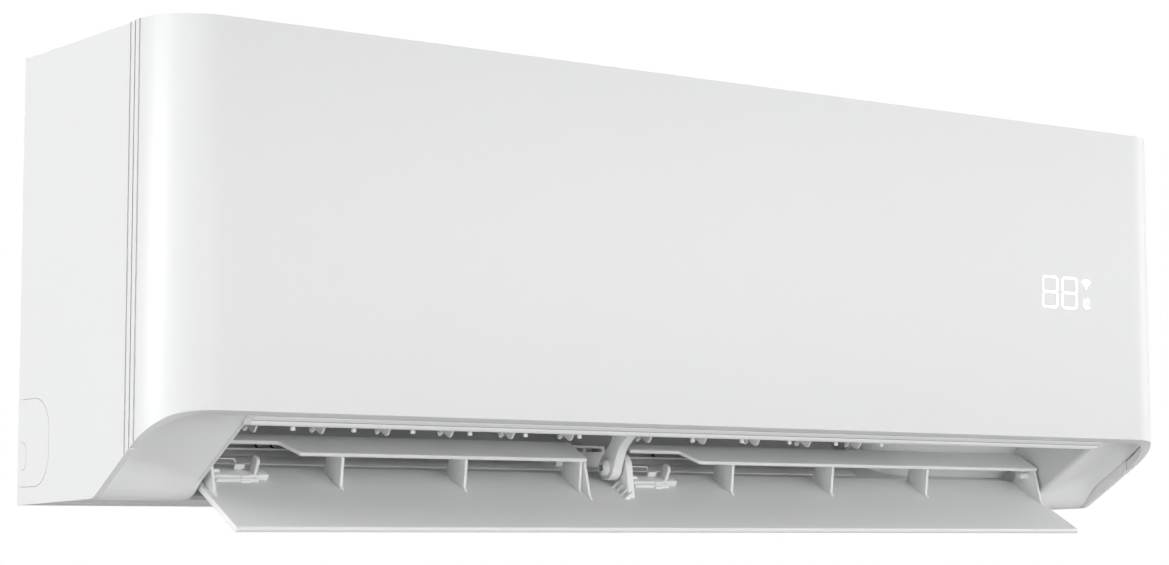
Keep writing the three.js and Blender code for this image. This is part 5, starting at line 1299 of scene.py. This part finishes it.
@dataclass
class Display:
    """Two lit digits and two small signs that shine through the panel."""

    workshop: Workshop
    lefts: tuple[float, float] = (325.0, 348.0)
    digit_width: float = 19.0
    low: float = 166.3
    digit_height: float = 27.0
    slant: float = 0.026
    stroke: float = 1.9
    stand: float = 0.06
    sink: float = 0.3
    bar_gap: float = 0.95
    signal: Pair = (378.0, 184.9)
    signal_arcs: tuple[float, ...] = (2.6, 4.9, 7.2)
    signal_ends: Pair = (42.0, 138.0)
    signal_width: float = 1.15
    signal_dot: float = 0.95
    moon: Pair = (379.2, 172.2)
    # Places of the diamonds about the moon's centre, and their half width and half height.
    diamonds: tuple[Pair, ...] = ((0.6, 3.9), (-1.2, 1.9), (2.2, 1.7), (0.6, -0.4))
    diamond: Pair = (1.0, 1.15)

    def flat(self, outline: Sequence[Pair]) -> bmesh.types.BMesh:
        """Return a thin tile on the panel's face from an outline in (X, Z)."""
        face = -CASE.depth
        return prism("y", outline, face - self.stand, face + self.sink)

    def bar(self, start: Pair, end: Pair) -> bmesh.types.BMesh:
        """Return a round-ended bar between two points."""
        a, b = Vector(start), Vector(end)
        heading = math.degrees(math.atan2(b.y - a.y, b.x - a.x))
        radius = self.stroke / 2
        return self.flat(arc(start, radius, heading + 90, heading + 270, 6)
                         + arc(end, radius, heading - 90, heading + 90, 6))

    def digit(self, left: float) -> list[bmesh.types.BMesh]:
        """Return the seven bars of a digit."""
        radius = self.stroke / 2
        x0, x1 = left + radius, left + self.digit_width - radius
        z0, z1 = self.low + radius, self.low + self.digit_height - radius
        middle = (z0 + z1) / 2
        gap = self.stroke * self.bar_gap
        upright = [((x0 + gap, z), (x1 - gap, z)) for z in (z0, middle, z1)]
        upright += [((x, low + gap), (x, high - gap))
                    for x in (x0, x1) for low, high in ((z0, middle), (middle, z1))]
        return [self.bar(*[(x + self.slant * (z - self.low), z) for x, z in ends]) for ends in upright]

    def band(self, centre: Pair, radius: float, width: float, start: float, end: float) -> bmesh.types.BMesh:
        """Return a band that follows an arc."""
        outer = arc(centre, radius + width / 2, start, end, 16)
        inner = arc(centre, radius - width / 2, end, start, 16)
        return self.flat(outer + inner)

    def signs(self) -> list[bmesh.types.BMesh]:
        """Return the signal sign, and the moon with its four diamonds."""
        x, z = self.signal
        made = [self.band((x, z - 0.2), radius, self.signal_width, *self.signal_ends)
                for radius in self.signal_arcs]
        made.append(self.flat(arc((x, z - 0.1), self.signal_dot, 0, 337.5, 15)))
        x, z = self.moon
        outer = arc((x - 0.4, z), 4.9, 128, 318, 24)
        inner = arc((x + 1.5, z + 1.4), 4.35, 300, 158, 20)
        made.append(self.flat(outer + inner))
        wide, high = self.diamond
        for dx, dz in self.diamonds:
            cx, cz = x + dx, z + dz
            made.append(self.flat([(cx - wide, cz), (cx, cz - high), (cx + wide, cz), (cx, cz + high)]))
        return made

    def build(self) -> None:
        """Build and dress the lit signs."""
        glow = self.workshop.make(GLOW)
        bars = [bar for left in self.lefts for bar in self.digit(left)]
        piece("display_digits", merged(bars), glow, "front_panel")
        piece("display_signs", merged(self.signs()), glow, "front_panel")


# ---- CAD nodes that only need a finish --------------------------------------


class NodeDresser:
    """Gives every CAD node its finish, by the record's slot."""

    BY_SLOT = {
        "shell": SHELL, "trim": TRIM, "duct_plastic": DUCT, "dark_plastic": DARK, "steel": STEEL,
        "fins": FINS, "copper": COPPER, "brass": BRASS, "board": BOARD,
    }

    # Nodes that are as white as the trim in the photograph, whatever their slot.
    LIT = ("duct_end_cover",)

    def __init__(self, workshop: Workshop) -> None:
        """Keep one material for each of the record's slots."""
        self.materials = {slot: workshop.make(finish) for slot, finish in self.BY_SLOT.items()}

    def dress(self) -> None:
        """Put the slot's material on every node."""
        for part in frame["record"]["subparts"]:
            node = frame["nodes"][part["node"]]
            node.data.materials.clear()
            slot = "trim" if part["node"] in self.LIT else part["material_slot"]
            node.data.materials.append(self.materials[slot])
            LOG.info("%s: %s", part["node"], part["material_slot"])


# ---- Studio -----------------------------------------------------------------


WHITE = (1.0, 1.0, 1.0, 1.0)


@dataclass
class Softbox:
    """A square lamp that looks at the unit, its turn and height in degrees seen from the unit."""

    name: str
    turn: float
    height: float
    size: float
    power: float
    distance: float = 4.0

    def hang(self) -> None:
        """Put the lamp in the scene."""
        data = bpy.data.lights.new(self.name, "AREA")
        data.shape = "SQUARE"
        data.size = self.size
        data.energy = self.power
        lamp = bpy.data.objects.new(self.name, data)
        turn, height = math.radians(self.turn), math.radians(self.height)
        level = math.cos(height)
        away = Vector((math.sin(turn) * level, -math.cos(turn) * level, math.sin(height)))
        lamp.location = away * self.distance
        lamp.rotation_euler = away.to_track_quat("Z", "Y").to_euler()
        bpy.context.scene.collection.objects.link(lamp)


@dataclass
class Studio:
    """Camera, lamps, pale floor and white background."""

    spot: tuple[float, float, float] = (-1256.48, -1725.39, -24.5)
    yaw: float = 0.635857
    pitch: float = 0.098062
    roll: float = -0.000739
    lens: float = 80.58
    sensor: float = 36.0
    farthest: float = 60.0
    floor_level: float = -1.75
    floor_size: float = 14.0
    floor_glow: float = 0.4
    floor_roughness: float = 0.8
    sky: float = 0.06
    ground: float = 0.45
    horizon: float = 0.3
    lamps: list[Softbox] = field(default_factory=lambda: [
        Softbox("key_left", -89.0, 5.0, 2.0, 99.0),
        Softbox("low_left", -70.0, -14.0, 1.4, 17.0),
        Softbox("low_front", 6.0, -14.0, 1.4, 27.0),
        Softbox("front", -4.0, 6.0, 1.6, 30.0),
        Softbox("front_right", 30.0, 8.0, 2.0, 36.0),
        Softbox("side_right", 75.0, 5.0, 2.0, 34.0),
        Softbox("above", 0.0, 55.0, 2.4, 18.0),
        Softbox("behind", 172.0, 28.0, 2.4, 60.0),
    ])

    def camera(self) -> None:
        """Set the camera at the photograph's place, angle and lens."""
        data = bpy.data.cameras.new("camera")
        data.lens = self.lens
        data.sensor_width = self.sensor
        data.clip_end = self.farthest
        level = math.cos(self.pitch)
        forward = Vector((math.sin(self.yaw) * level, math.cos(self.yaw) * level, math.sin(self.pitch)))
        right = Vector((math.cos(self.yaw), -math.sin(self.yaw), 0.0))
        up = right.cross(forward)
        basis = Matrix((right, up, -forward)).transposed().to_4x4()
        made = bpy.data.objects.new("camera", data)
        roll = Matrix.Rotation(self.roll, 4, "Z")
        made.matrix_world = Matrix.Translation(place(self.spot)) @ basis @ roll
        bpy.context.scene.collection.objects.link(made)
        bpy.context.scene.camera = made

    def background(self) -> None:
        """Light softly, more from below than above, and show white to the eye, gloss and glass."""
        world = bpy.data.worlds.new("studio")
        bpy.context.scene.world = world
        world.use_nodes = True
        tree = world.node_tree
        base = tree.nodes["Background"]
        base.inputs["Color"].default_value = WHITE
        heading = add_node(tree, "TexCoord")
        split = add_node(tree, "SeparateXYZ")
        fade = add_node(tree, "MapRange", {"From Min": -self.horizon, "From Max": self.horizon,
                                           "To Min": self.ground, "To Max": self.sky})
        tree.links.new(heading.outputs["Generated"], split.inputs["Vector"])
        tree.links.new(split.outputs["Z"], fade.inputs["Value"])
        tree.links.new(fade.outputs["Result"], base.inputs["Strength"])
        white = add_node(tree, "Background", {"Color": WHITE})
        mix = add_node(tree, "MixShader")
        tree.links.new(self.seen(tree), mix.inputs["Fac"])
        tree.links.new(base.outputs["Background"], mix.inputs[1])
        tree.links.new(white.outputs["Background"], mix.inputs[2])
        tree.links.new(mix.outputs["Shader"], tree.nodes["World Output"].inputs["Surface"])

    @staticmethod
    def seen(tree: bpy.types.NodeTree) -> bpy.types.NodeSocket:
        """Return 1 for rays from the eye, from gloss and through glass."""
        path = add_node(tree, "LightPath")
        first, second = add_node(tree, "Math"), add_node(tree, "Math")
        for node in (first, second):
            node.operation = "MAXIMUM"
        tree.links.new(path.outputs["Is Camera Ray"], first.inputs[0])
        tree.links.new(path.outputs["Is Glossy Ray"], first.inputs[1])
        tree.links.new(first.outputs["Value"], second.inputs[0])
        tree.links.new(path.outputs["Is Transmission Ray"], second.inputs[1])
        return second.outputs["Value"]

    def floor(self) -> None:
        """Lay the floor: white with a glow where it is seen, and darker for the light it throws back."""
        bm = bmesh.new()
        bmesh.ops.create_grid(bm, x_segments=1, y_segments=1, size=self.floor_size / 2)
        bmesh.ops.translate(bm, verts=bm.verts, vec=(0.0, 0.0, self.floor_level))
        mesh = bpy.data.meshes.new("floor")
        bm.to_mesh(mesh)
        bm.free()
        made = bpy.data.objects.new("floor", mesh)
        bpy.context.scene.collection.objects.link(made)
        material = bpy.data.materials.new("pale_floor")
        material.use_nodes = True
        tree = material.node_tree
        shader = tree.nodes["Principled BSDF"]
        shade = add_node(tree, "MapRange", {"To Min": self.ground, "To Max": 1.0})
        glow = add_node(tree, "Math")
        glow.operation = "MULTIPLY"
        glow.inputs[1].default_value = self.floor_glow
        seen = self.seen(tree)
        tree.links.new(seen, shade.inputs["Value"])
        tree.links.new(seen, glow.inputs[0])
        tree.links.new(glow.outputs["Value"], shader.inputs["Emission Strength"])
        shader.inputs["Emission Color"].default_value = WHITE
        tree.links.new(shade.outputs["Result"], shader.inputs["Base Color"])
        shader.inputs["Roughness"].default_value = self.floor_roughness
        shader.inputs["Specular IOR Level"].default_value = 0.0
        mesh.materials.append(material)

    def build(self) -> None:
        """Set up the view, the light and the floor."""
        bpy.context.scene.view_settings.view_transform = "Standard"
        self.camera()
        self.background()
        self.floor()
        for lamp in self.lamps:
            lamp.hang()


def main() -> None:
    """Build the unit's looks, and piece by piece."""
    logging.basicConfig(level=logging.INFO, format="%(name)s %(message)s")
    workshop = Workshop()
    Studio().build()
    NodeDresser(workshop).dress()
    FrontPanel(workshop).build()
    for side in (-1, 1):
        Wing(workshop, side).build()
    Louver(workshop).build()
    MiddleArm(workshop).build()
    MouthTrim(workshop).build()
    VaneGroup(workshop, "left", -368.0, 6).build()
    VaneGroup(workshop, "right", -24.0, 5).build()
    Display(workshop).build()


if __name__ == "__main__":
    main()
